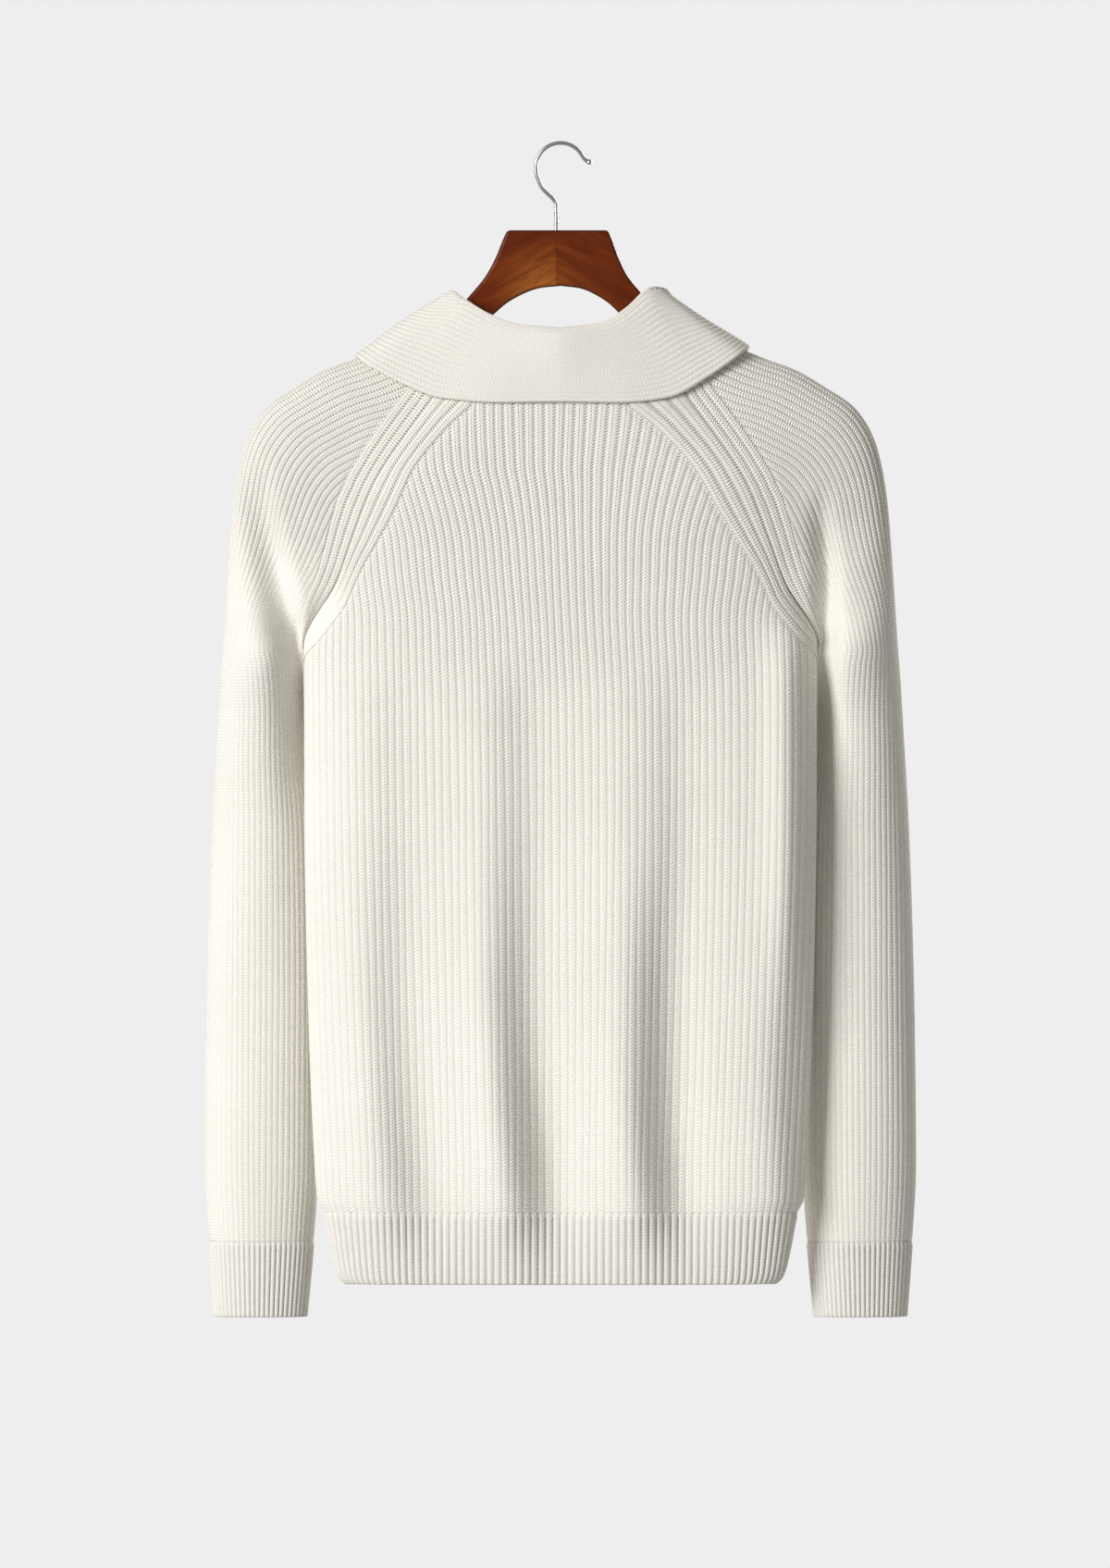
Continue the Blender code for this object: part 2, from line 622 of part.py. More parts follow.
def sleeve(name, side, material):
    """A raglan sleeve on the +X (side 1) or -X (side -1) side."""
    cloth = Cloth()
    columns = 4 * SLEEVE_RIBS
    rows = len(SLEEVE_ROWS) + len(CAP_SHARES)

    def place(i, j):
        rib = i / 2.0 - SLEEVE_RIBS
        return mirrored(sleeve_point(rib, sleeve_heights(rib)[j]), side)

    def relief(i, j):
        rib = abs(i / 2.0 - SLEEVE_RIBS)
        ends = j == rows and rib >= SLEEVE_NECK_RIB
        return -RIB_SINK if ends else rib_relief(i)

    cloth.lay(columns, rows, place, relief)
    first = round(2.0 * SLEEVE_NECK_RIB)
    for half in (-1, 1):
        def band_place(i, j, half=half):
            rib = half * (first + i) / 2.0
            share = j / (2.0 * BAND_RIBS)
            low = sleeve_border(rib)
            high = sleeve_seam(rib)
            _, row = sleeve_arc(round(high, 4), rib >= 0)
            at = abs(rib) + (row["ribs"] - abs(rib)) * share
            return mirrored(sleeve_point(half * at, low + (high - low) * share), side)

        cloth.lay(2 * SLEEVE_RIBS - first, 2 * BAND_RIBS, band_place, lambda i, j: rib_relief(j),
                  lambda i, half=half: half * (first + i) + 2 * SLEEVE_RIBS,
                  plain=range(2 * SLEEVE_THIN_RIBS - first))
    cloth.weld()
    cloth.raise_wall(Vector((side, 0.0, 0.0)))
    cloth.thin_out(SLEEVE_INNER_STEP)
    return cloth.finish(name, material)


def cuff(name, side, material):
    """A cuff's rib band."""
    cloth = Cloth()
    places = (CUFF_SEAM - SEAM_GAP, SLEEVE_SECTIONS[0].along)

    def place(i, j):
        return mirrored(sleeve_point(i / 2.0 - SLEEVE_RIBS, places[j]), side)

    cloth.lay(4 * SLEEVE_RIBS, len(places) - 1, place, lambda i, j: rib_relief(i))
    cloth.weld()
    cloth.raise_wall(Vector((side, 0.0, 0.0)))
    cloth.thin_out(CUFF_INNER_STEP)
    return cloth.finish(name, material)


@lru_cache(maxsize=None)
def collar_arc(station):
    """The collar's path across, at a station counted from the centre back."""
    knots = np.arange(len(COLLAR_SECTIONS), dtype=float)
    corners = []
    for name in CollarSection._fields:
        table = np.array([getattr(row, name) for row in COLLAR_SECTIONS])
        corners.append(np.array([smooth_between(knots, table[:, axis], station) for axis in range(3)]))
    seam, fold, edge = corners
    down = (seam - fold) / np.linalg.norm(seam - fold)
    out = (edge - fold) / np.linalg.norm(edge - fold)
    side = out - down
    side = side / np.linalg.norm(side)
    reach = min(COLLAR_BEND, COLLAR_BEND_SHARE * np.linalg.norm(seam - fold))
    middle = (down + out) / np.linalg.norm(down + out)
    near = fold + middle * reach - side * COLLAR_FOLD
    far = fold + middle * reach + side * COLLAR_FOLD
    guides = [seam, near, fold, far, edge]
    return spline(guides, 12)


def spline(points, steps):
    """A rounded curve through points."""
    points = [np.array(point, dtype=float) for point in points]
    padded = [2 * points[0] - points[1], *points, 2 * points[-1] - points[-2]]
    result = [points[0]]
    for before, start, end, after in zip(padded, padded[1:], padded[2:], padded[3:]):
        chord = np.linalg.norm(end - start)
        lead = chord / max(np.linalg.norm(end - before), 1e-6)
        trail = chord / max(np.linalg.norm(after - start), 1e-6)
        leave = (end - before) * lead
        arrive = (after - start) * trail
        for t in np.arange(1, steps + 1) / steps:
            point = (start * (1 + 2 * t) * (1 - t) ** 2 + leave * t * (1 - t) ** 2
                     + end * t * t * (3 - 2 * t) - arrive * t * t * (1 - t))
            result.append(point)
    return np.array(result)


def collar(material):
    """The shawl collar, folded over and tapering to the V."""
    cloth = Cloth()
    last = float(len(COLLAR_SECTIONS) - 1)

    def place(i, j):
        turn = j / COLLAR_STATIONS - 1.0
        point, _ = walk(collar_arc(round(abs(turn) * last, 4)), i / (2.0 * COLLAR_RIBS))
        return mirrored(point, -1.0 if turn < 0 else 1.0)

    def relief(i, j):
        return COLLAR_RELIEF if i % 2 else 0.0

    cloth.lay(2 * COLLAR_RIBS, 2 * COLLAR_STATIONS, place, relief)
    cloth.raise_wall(Vector((0.0, 0.0, 1.0)))
    cloth.thin_out(SLEEVE_INNER_STEP)
    return cloth.finish("collar", material)


def hanger_edge(points, smooth_from):
    """An edge of the hanger as a rounded line, with its first points left sharp."""
    sharp = [np.array((point.x, 0.0, point.height)) for point in points[:smooth_from]]
    curve = spline([(point.x, 0.0, point.height) for point in points[smooth_from:]], 2)
    return [*sharp, *curve]


def hanger_outline():
    """The hanger's outline seen from the front, round from the middle of its top."""
    top = hanger_edge(HANGER_TOP, 1)
    under = hanger_edge(HANGER_UNDERSIDE, 0)
    end = (top[-1] + under[-1]) / 2.0 + np.array((HANGER_TIP, 0.0, 0.0))
    half = [*top, end, *reversed(under)]
    return [*half, *(mirrored(point, -1.0) for point in reversed(half[1:-1]))]


def hanger(material):
    """The wooden body: flat-topped at the neck, with arms in the shoulders."""
    mesh = bmesh.new()
    front = Vector((0.0, -HANGER_THICKNESS / 2.0, 0.0))
    verts = [mesh.verts.new((Vector(point) + front) * MM) for point in hanger_outline()]
    face = mesh.faces.new(verts)
    pushed = bmesh.ops.extrude_face_region(mesh, geom=[face])
    moved = [item for item in pushed["geom"] if isinstance(item, bmesh.types.BMVert)]
    bmesh.ops.translate(mesh, verts=moved, vec=(0.0, HANGER_THICKNESS * MM, 0.0))
    bmesh.ops.recalc_face_normals(mesh, faces=mesh.faces[:])
    edges = [edge for edge in mesh.edges if abs(edge.verts[0].co.y - edge.verts[1].co.y) < 1e-6]
    bmesh.ops.bevel(mesh, geom=edges, offset=HANGER_EDGE * MM, segments=1, affect="EDGES")
    obj = make_object("hanger", mesh, material)
    bore = bmesh.new()
    bmesh.ops.create_cone(bore, cap_ends=True, segments=12, radius1=HOOK_BORE * MM,
                          radius2=HOOK_BORE * MM, depth=2.0 * (HOOK_STEM_DEPTH + 1.0) * MM)
    bmesh.ops.translate(bore, verts=bore.verts, vec=Vector((HOOK_STEM_X, 0.0, HANGER_TOP[0].height)) * MM)
    cutter = make_object("hook_bore", bore, material)
    cutter.hide_render = True
    cutter.display_type = "WIRE"
    cut = obj.modifiers.new("hook bore", "BOOLEAN")
    cut.object = cutter
    cut.operation = "DIFFERENCE"
    cut.solver = "EXACT"
    obj.data.shade_smooth()
    obj.data.set_sharp_from_angle(angle=math.radians(40.0))
    return obj


def hook_route():
    """The wire's centre line, from inside the hanger to its open end."""
    top = HANGER_TOP[0].height
    neck = [(HOOK_STEM_X, top - HOOK_STEM_DEPTH), (HOOK_STEM_X, HOOK_STEM_BEND), *HOOK_NECK]
    arc = []
    for angle in np.linspace(HOOK_ARC_FROM, HOOK_ARC_TO, HOOK_ARC_POINTS):
        turn = math.radians(angle)
        arc.append((-HOOK_CIRCLE_RADIUS * math.cos(turn),
                    HOOK_CIRCLE_HEIGHT + HOOK_CIRCLE_RADIUS * math.sin(turn)))
    return [(x, 0.0, height) for x, height in (*neck, *arc, *HOOK_END)]


def hook(material):
    """The wire hook, thicker at its blunt tip."""
    points = spline(hook_route(), 1)
    curve = bpy.data.curves.new("hook_line", "CURVE")
    curve.dimensions = "3D"
    line = curve.splines.new("POLY")
    line.points.add(len(points) - 1)
    for spot, point in zip(line.points, points):
        spot.co = (*(point * MM), 1.0)
    for spot in line.points[-3:-1]:
        spot.radius = HOOK_BALL / HOOK_RADIUS
    curve.bevel_depth = HOOK_RADIUS * MM
    curve.bevel_resolution = 2
    curve.use_fill_caps = True
    curve.materials.append(material)
    obj = bpy.data.objects.new("hook", curve)
    bpy.context.scene.collection.objects.link(obj)
    return obj


def main():
    """Build every piece."""
    for obj in list(bpy.data.objects):
        bpy.data.objects.remove(obj)
    knit = make_material("cream_knit", (0.84, 0.81, 0.74), 0.9)
    wood = make_material("dark_wood", (0.17, 0.036, 0.008), 0.3)
    steel = make_material("hook_steel", (0.6, 0.6, 0.6), 0.2, 1.0)
    body_panel("back", True, BACK_NECK, knit)
    body_panel("front", False, FRONT_NECK, knit)
    for name, side in (("left", 1), ("right", -1)):
        sleeve(f"sleeve_{name}", side, knit)
        cuff(f"cuff_{name}", side, knit)
    hem_band(knit)
    collar(knit)
    hanger(wood)
    hook(steel)


main()
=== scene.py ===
"""Looks of a v-neck sweater on its hanger.

The pullover is knitted in one-by-one ribs: a back and a front, raglan sleeves
with a band of ribs along each seam, cuffs, a hem and a folded shawl collar.  It
hangs on a lacquered wooden hanger with a wire hook.  The front faces -Y, the
back faces +Y and Z is up.  Sizes are in millimetres; meshes are in metres.
"""

from __future__ import annotations

import logging
import math
from dataclasses import dataclass
from enum import Enum
from typing import Callable, NamedTuple, Sequence

import bmesh
import bpy
import numpy as np
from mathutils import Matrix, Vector


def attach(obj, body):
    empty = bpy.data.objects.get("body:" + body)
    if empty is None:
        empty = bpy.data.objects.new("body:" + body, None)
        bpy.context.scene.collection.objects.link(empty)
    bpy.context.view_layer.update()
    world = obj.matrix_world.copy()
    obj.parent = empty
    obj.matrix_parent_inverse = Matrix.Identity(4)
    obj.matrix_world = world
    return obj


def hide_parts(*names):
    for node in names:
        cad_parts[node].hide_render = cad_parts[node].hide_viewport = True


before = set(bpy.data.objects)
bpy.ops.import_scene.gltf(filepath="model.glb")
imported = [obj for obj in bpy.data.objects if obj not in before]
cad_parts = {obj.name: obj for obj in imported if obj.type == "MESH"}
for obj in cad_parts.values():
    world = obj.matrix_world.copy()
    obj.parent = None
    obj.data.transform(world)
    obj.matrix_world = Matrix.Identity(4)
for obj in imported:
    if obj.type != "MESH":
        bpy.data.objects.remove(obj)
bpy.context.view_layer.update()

log = logging.getLogger("sweater")
Array = np.ndarray
Colour = tuple[float, float, float]
Place = Callable[[Array, Array], Array]

MM = 0.001
PER_RIB = 6             # columns of points across one rib
STITCH = 2.35           # height of a stitch row
WALL = 2.4              # thickness of the knit at an open edge
HEM_SEAM = -830.5       # height of the seam between the body and its hem band
RIB_RISE = 0.45         # how far a rib stands out of the cloth,
RIB_SINK = 0.4          # and how deep the groove beside it is
SEAM_RELIEF = 0.35      # share of their height that ribs have right at a band's seam,
SEAM_EASE = 3.0         # and how far from it they have all of it
HANGING_RELIEF = 0.7    # share of their height that ribs keep below the shoulders
BAND_RIBS = 3           # ribs that run along each raglan seam
BAND_RISE = 0.6         # how far they stand out
TUCK_FROM = 0.94        # share of a raglan band's width from which it tucks under,
TUCK_DEPTH = 0.4        # and how deep its edge then lies
CALM_CLOSES = 1.3       # how much a smoothed raglan band loses of its openness
TOUCHING = 0.02         # points closer together than this are one
SLOPE_REACH = (0.06, 0.6)       # ribs and millimetres over which a slope is measured


# --------------------------------------------------------------------- tables


class BodySection(NamedTuple):
    """A level slice through the body, or through the yoke between the raglan seams."""

    height: float
    half_width: float
    back_y: float
    front_y: float
    back_edge_y: float
    front_edge_y: float
    edge_root: float    # 0.38 turns the edge right round, 1 lets it slope
    ribs: float         # from the centre line to the seam
    folds: float        # share of the full fold depth
    lean: float         # shift of the back's centre line toward +X


BODY_SECTIONS = (
    BodySection(-886.7, 166.5, 25.0, -24.0, 3.0, 3.0, 0.38, 35.0, 0.2, 0.0),
    BodySection(-882.5, 171.5, 25.3, -24.2, 3.2, 3.2, 0.38, 35.0, 0.22, 0.0),
    BodySection(-876.0, 174.6, 25.7, -24.5, 3.5, 3.5, 0.38, 35.0, 0.25, 0.0),
    BodySection(-860.0, 178.4, 26.5, -25.0, 4.0, 4.0, 0.38, 35.0, 0.38, 0.0),
    BodySection(-830.5, 184.5, 29.0, -27.0, 5.0, 5.0, 0.38, 35.0, 0.85, 0.0),
    BodySection(-821.0, 189.0, 29.6, -27.6, 5.3, 5.3, 0.38, 35.0, 0.95, 0.0),
    BodySection(-790.0, 191.5, 31.0, -29.0, 6.0, 6.0, 0.38, 35.0, 1.1, 0.0),
    BodySection(-679.0, 196.0, 35.0, -33.0, 7.0, 7.0, 0.38, 35.0, 0.85, 0.0),
    BodySection(-535.0, 199.0, 40.0, -37.0, 8.0, 8.0, 0.38, 35.0, 0.38, 0.0),
    BodySection(-434.0, 199.4, 42.0, -38.0, 8.0, 8.0, 0.39, 35.0, 0.2, 1.0),
    BodySection(-391.0, 199.8, 42.0, -38.0, 8.0, 8.0, 0.42, 35.0, 0.0, 3.0),
    BodySection(-340.0, 174.0, 41.5, -38.0, 26.0, -18.0, 0.75, 28.2, 0.0, 6.0),
    BodySection(-304.0, 161.0, 41.0, -38.0, 31.0, -25.0, 0.95, 25.0, 0.0, 8.0),
    BodySection(-268.0, 147.0, 40.5, -38.5, 33.0, -29.0, 1.0, 20.8, 0.0, 11.0),
    BodySection(-250.0, 137.0, 39.5, -38.5, 32.5, -30.0, 1.0, 18.4, 0.0, 13.0),
    BodySection(-199.0, 101.0, 34.0, -37.0, 28.0, -29.0, 1.0, 12.6, 0.0, 13.0),
    BodySection(-148.0, 66.0, 26.0, -34.0, 18.0, -23.0, 1.0, 8.4, 0.0, 11.0),
)


class BorderPoint(NamedTuple):
    """Where a column of body ribs ends on the raglan band's border."""

    rib: float
    height: float


BODY_BORDER = (
    BorderPoint(4.6, -166.0),
    BorderPoint(7.7, -205.0),
    BorderPoint(9.9, -218.0),
    BorderPoint(13.3, -242.0),
    BorderPoint(15.6, -260.0),
    BorderPoint(18.1, -281.0),
    BorderPoint(21.2, -304.0),
    BorderPoint(24.0, -327.0),
    BorderPoint(27.3, -359.0),
    BorderPoint(31.5, -388.0),
    BorderPoint(35.0, -403.0),
)


class SleeveSection(NamedTuple):
    """A slice across the sleeve, from its top line to the underarm or raglan seam."""

    along: float        # distance along the top line from the cuff seam
    top_x: float
    top_y: float
    top_height: float
    under_x: float      # underarm line, below the armpit
    under_y: float
    back_seam: float    # heights of the raglan seams, above the armpit
    front_seam: float
    depth: float        # from the top line's level to the back and to the front
    cling: float        # 0 is a free tube, 1 runs on from the body's surface
    ribs: float
    field_ribs: float
    crease: float       # depth of the trough that runs into the armpit


SLEEVE_SECTIONS = (
    SleeveSection(-59.5, 270.0, -28.0, -913.0, 198.0, -28.0, 0, 0, 23.0, 0.0, 26.0, 26.0, 0.0),
    SleeveSection(0.0, 274.3, -28.0, -853.6, 192.5, -28.0, 0, 0, 25.0, 0.0, 26.0, 26.0, 0.0),
    SleeveSection(60.0, 277.5, -30.0, -794.0, 189.0, -30.0, 0, 0, 28.0, 0.0, 26.0, 26.0, 0.0),
    SleeveSection(168.0, 276.5, -32.5, -686.0, 189.0, -32.5, 0, 0, 31.0, 0.0, 26.0, 26.0, 0.0),
    SleeveSection(319.0, 272.0, -31.5, -535.0, 191.0, -31.5, 0, 0, 36.0, 0.0, 26.0, 26.0, 4.0),
    SleeveSection(404.0, 267.0, -20.0, -450.0, 196.5, -20.0, 0, 0, 36.0, 0.0, 26.0, 26.0, 14.0),
    SleeveSection(449.0, 264.0, -10.0, -405.0, 197.5, 0.0, 0, 0, 38.0, 0.0, 26.0, 26.0, 16.0),
    SleeveSection(463.0, 262.8, -8.0, -391.0, 199.8, 8.0, -391.0, -391.0, 38.0, 0.1, 26.0, 24.6, 16.0),
    SleeveSection(524.0, 258.5, -4.0, -330.0, 0, 0, -356.0, -356.0, 37.0, 0.7, 25.0, 21.4, 15.0),
    SleeveSection(578.0, 254.0, -1.0, -276.0, 0, 0, -322.0, -322.0, 35.0, 1.0, 24.0, 20.0, 9.0),
    SleeveSection(622.0, 245.5, 0.0, -233.0, 0, 0, -296.0, -296.0, 33.0, 1.0, 23.0, 18.8, 0.0),
    SleeveSection(656.0, 228.6, 0.0, -204.0, 0, 0, -278.0, -278.0, 31.0, 1.0, 21.4, 17.4, 0.0),
    SleeveSection(682.0, 207.0, 0.0, -189.7, 0, 0, -262.0, -262.0, 29.0, 1.0, 19.3, 15.4, 0.0),
    SleeveSection(710.0, 183.0, 0.0, -175.3, 0, 0, -243.0, -243.0, 27.0, 1.0, 16.8, 13.0, 0.0),
    SleeveSection(738.0, 157.0, 0.0, -166.0, 0, 0, -222.0, -222.0, 25.0, 1.0, 13.8, 10.0, 0.0),
    SleeveSection(780.0, 120.0, 0.0, -149.0, 0, 0, -185.0, -191.0, 22.0, 1.0, 9.8, 6.0, 0.0),
    SleeveSection(827.0, 80.0, 0.0, -122.0, 0, 0, -154.0, -166.0, 18.0, 1.0, 7.2, 3.0, 0.0),
)


class CreasePoint(NamedTuple):
    """A point of the sleeve's trough."""

    height: float
    x: float


class Crease(NamedTuple):
    """The trough that runs down a sleeve into its armpit."""

    line: tuple[CreasePoint, ...]
    outer_width: float      # of its slope toward the sleeve's outside,
    inner_width: float      # and toward the body
    smooth: float           # share by which the ribs beside it are stretched flat


SLANTING_CREASE = Crease((
    CreasePoint(-470.0, 201.0),
    CreasePoint(-420.0, 203.0),
    CreasePoint(-391.0, 206.0),
    CreasePoint(-343.0, 217.0),
    CreasePoint(-310.0, 225.0),
    CreasePoint(-283.0, 231.0),
), 17.0, 8.0, 0.8)
UPRIGHT_CREASE = Crease((
    CreasePoint(-470.0, 205.0),
    CreasePoint(-420.0, 206.5),
    CreasePoint(-391.0, 207.0),
    CreasePoint(-343.0, 207.0),
    CreasePoint(-310.0, 205.0),
    CreasePoint(-283.0, 201.0),
), 8.0, 10.0, 0.2)


class CollarSection(NamedTuple):
    """A slice across the collar: neck seam, folded edge and free edge."""

    seam: tuple[float, float, float]
    fold: tuple[float, float, float]
    edge: tuple[float, float, float]


COLLAR_SECTIONS = (
    CollarSection((0.0, 25.6, -166.5), (0.0, 29.0, -143.0), (0.0, 38.8, -201.0)),
    CollarSection((26.0, 25.5, -166.0), (32.0, 27.8, -140.0), (48.0, 38.3, -201.5)),
    CollarSection((46.0, 24.0, -164.0), (56.0, 24.0, -130.5), (90.0, 35.0, -198.0)),
    CollarSection((67.0, 16.5, -152.5), (72.0, 18.0, -119.5), (124.0, 29.5, -183.5)),
    CollarSection((73.6, 12.0, -132.0), (80.5, 11.5, -114.6), (151.5, 22.0, -166.5)),
    CollarSection((76.8, 1.0, -121.0), (84.5, 1.0, -113.0), (160.5, 4.5, -159.4)),
    CollarSection((75.6, -9.5, -124.0), (83.0, -11.5, -117.0), (159.0, -13.0, -163.0)),
    CollarSection((74.8, -17.5, -137.5), (80.5, -23.5, -126.0), (153.5, -26.5, -184.0)),
    CollarSection((74.6, -25.5, -163.5), (77.0, -33.0, -149.0), (142.0, -30.5, -213.0)),
    CollarSection((62.0, -34.5, -205.4), (65.0, -42.0, -192.0), (124.0, -37.5, -245.0)),
    CollarSection((44.2, -38.5, -240.0), (47.0, -47.0, -231.0), (100.0, -41.0, -278.0)),
    CollarSection((28.0, -40.2, -273.0), (30.0, -48.5, -267.0), (70.0, -43.0, -310.0)),
    CollarSection((12.5, -40.2, -308.0), (14.0, -48.5, -303.0), (37.0, -43.5, -342.0)),
    CollarSection((1.2, -40.2, -341.0), (1.4, -48.5, -336.0), (1.4, -43.5, -374.0)),
)


class OutlinePoint(NamedTuple):
    """A point of the hanger's upper or lower edge, seen from the front."""

    x: float
    height: float


HANGER_TOP = (
    OutlinePoint(0.0, -66.6),
    OutlinePoint(39.2, -66.6),
    OutlinePoint(40.9, -67.1),
    OutlinePoint(42.2, -68.3),
    OutlinePoint(43.0, -69.8),
    OutlinePoint(45.5, -75.5),
    OutlinePoint(51.0, -89.0),
    OutlinePoint(59.5, -104.0),
    OutlinePoint(72.0, -119.0),
    OutlinePoint(82.0, -131.5),
    OutlinePoint(98.0, -143.0),
    OutlinePoint(135.0, -163.0),
    OutlinePoint(175.0, -183.0),
    OutlinePoint(205.0, -201.0),
)
HANGER_UNDERSIDE = (
    OutlinePoint(0.0, -109.8),
    OutlinePoint(20.0, -112.5),
    OutlinePoint(40.0, -122.0),
    OutlinePoint(54.0, -133.5),
    OutlinePoint(80.0, -152.0),
    OutlinePoint(115.0, -171.0),
    OutlinePoint(160.0, -194.0),
    OutlinePoint(200.0, -214.0),
)


# ---------------------------------------------------------------------- curves


def smooth_curve(knots: Array, values: Array, at: Array) -> Array:
    """Read a smooth curve through a table's rows that doesn't overshoot them.

    Args:
        knots: The rows' places, rising.
        values: The rows' values.
        at: Where to read.

    Returns:
        The values there.
    """
    at = np.clip(at, knots[0], knots[-1])
    index = np.clip(np.searchsorted(knots, at) - 1, 0, len(knots) - 2)
    steps = np.diff(knots)
    slopes = np.diff(values) / steps
    before, after = slopes[:-1], slopes[1:]
    total = np.where(before + after == 0.0, 1.0, before + after)
    inner = np.where(before * after > 0.0, 2.0 * before * after / total, 0.0)
    tangents = np.concatenate((slopes[:1], inner, slopes[-1:]))
    width = steps[index]
    t = (at - knots[index]) / width
    start = values[index] * (1 + 2 * t) * (1 - t) ** 2 + tangents[index] * width * t * (1 - t) ** 2
    end = values[index + 1] * t * t * (3 - 2 * t) - tangents[index + 1] * width * t * t * (1 - t)
    return start + end


def soft_step(value: Array, low: float, high: float) -> Array:
    """Rise smoothly from 0 at `low` to 1 at `high`."""
    t = np.clip((value - low) / (high - low), 0.0, 1.0)
    return t * t * (3.0 - 2.0 * t)


def blend(start: Array | float, end: Array | float, share: Array) -> Array:
    """Go from `start` to `end`."""
    return start + (end - start) * share


def even_out(curves: Array, count: int) -> Array:
    """Space each curve's points evenly along it.

    Args:
        curves: Points of many curves, as [curve, point, axis].
        count: How many points each gets.

    Returns:
        The evenly spaced points.
    """
    steps = np.linalg.norm(np.diff(curves, axis=1), axis=2)
    result = np.empty((len(curves), count, 3))
    for number, (curve, lengths) in enumerate(zip(curves, steps)):
        reached = np.concatenate(([0.0], np.cumsum(lengths)))
        at = np.linspace(0.0, reached[-1], count)
        for axis in range(3):
            result[number, :, axis] = np.interp(at, reached, curve[:, axis])
    return result


def spline(points: Sequence[Array], steps: int) -> Array:
    """Draw a rounded curve through points.

    Args:
        points: What the curve passes.
        steps: Pieces between one point and the next.

    Returns:
        The curve's points.
    """
    spots = [np.array(point, dtype=float) for point in points]
    padded = [2 * spots[0] - spots[1], *spots, 2 * spots[-1] - spots[-2]]
    result = [spots[0]]
    for before, start, end, after in zip(padded, padded[1:], padded[2:], padded[3:]):
        chord = np.linalg.norm(end - start)
        leave = (end - before) * chord / max(np.linalg.norm(end - before), 1e-6)
        arrive = (after - start) * chord / max(np.linalg.norm(after - start), 1e-6)
        for t in np.arange(1, steps + 1) / steps:
            result.append(start * (1 + 2 * t) * (1 - t) ** 2 + leave * t * (1 - t) ** 2
                          + end * t * t * (3 - 2 * t) - arrive * t * t * (1 - t))
    return np.array(result)


class Table:
    """Rows of named columns, read smoothly between the rows."""

    def __init__(self, rows: Sequence[NamedTuple], key: str) -> None:
        """Keep the rows' columns, with `key` as the place of each row.

        Args:
            rows: The table's rows.
            key: The column that says where a row lies.
        """
        self.knots = np.array([getattr(row, key) for row in rows], dtype=float)
        self.columns = {name: np.array([getattr(row, name) for row in rows], dtype=float)
                        for name in rows[0]._fields}

    def at(self, name: str, places: Array) -> Array:
        """Read one column.

        Args:
            name: The column.
            places: Where to read.

        Returns:
            The values there.
        """
        return smooth_curve(self.knots, self.columns[name], np.asarray(places, dtype=float))


class Form:
    """A cloth surface sampled evenly along and across, read smoothly in between."""

    def __init__(self, first: float, last: float, samples: Array) -> None:
        """Keep the samples [along, across, axis], which run from `first` to `last`.

        Args:
            first: Where the first row of samples lies.
            last: Where the last one lies.
            samples: The points.
        """
        self.first = first
        self.last = last
        self.shape = samples.shape[:2]
        wide = np.concatenate((2 * samples[:1] - samples[1:2], samples,
                               2 * samples[-1:] - samples[-2:-1]), axis=0)
        self.samples = np.concatenate((2 * wide[:, :1] - wide[:, 1:2], wide,
                                       2 * wide[:, -1:] - wide[:, -2:-1]), axis=1)

    @staticmethod
    def weights(t: Array) -> Array:
        """Shares of the four samples around a place."""
        return np.stack((-0.5 * t + t * t - 0.5 * t ** 3, 1.0 - 2.5 * t * t + 1.5 * t ** 3,
                         0.5 * t + 2.0 * t * t - 1.5 * t ** 3, -0.5 * t * t + 0.5 * t ** 3))

    def at(self, along: Array, share: Array) -> Array:
        """Read the surface.

        Args:
            along: Places along it, in the units of `first` and `last`.
            share: Places across it, from 0 to 1.

        Returns:
            Points as [place, axis].
        """
        rows, columns = self.shape
        u = np.clip((along - self.first) / (self.last - self.first), 0.0, 1.0) * (rows - 1)
        v = np.clip(share, 0.0, 1.0) * (columns - 1)
        row = np.minimum(u.astype(int), rows - 2)
        column = np.minimum(v.astype(int), columns - 2)
        row_weights = self.weights(u - row)
        column_weights = self.weights(v - column)
        total = np.zeros((len(u), 3))
        for down in range(4):
            for over in range(4):
                weight = (row_weights[down] * column_weights[over])[:, None]
                total += weight * self.samples[row + down, column + over]
        return total


def raised(place: Place, across: Array, along: Array, relief: Array,
           reach: tuple[float, float], sign: float) -> Array:
    """Lift points off a surface along its normals.

    Args:
        place: Gives the surface's points.
        across: The points' places across it.
        along: The points' places along it.
        relief: How far each point is lifted.
        reach: Steps across and along that measure the surface's slope.
        sign: 1, or -1 where the surface would face inward.

    Returns:
        The lifted points.
    """
    over, up = reach
    run = place(across + over, along) - place(across - over, along)
    rise = place(across, along + up) - place(across, along - up)
    normal = np.cross(run, rise) * sign
    normal /= np.maximum(np.linalg.norm(normal, axis=1), 1e-9)[:, None]
    return place(across, along) + normal * relief[:, None]


# ------------------------------------------------------------------- materials


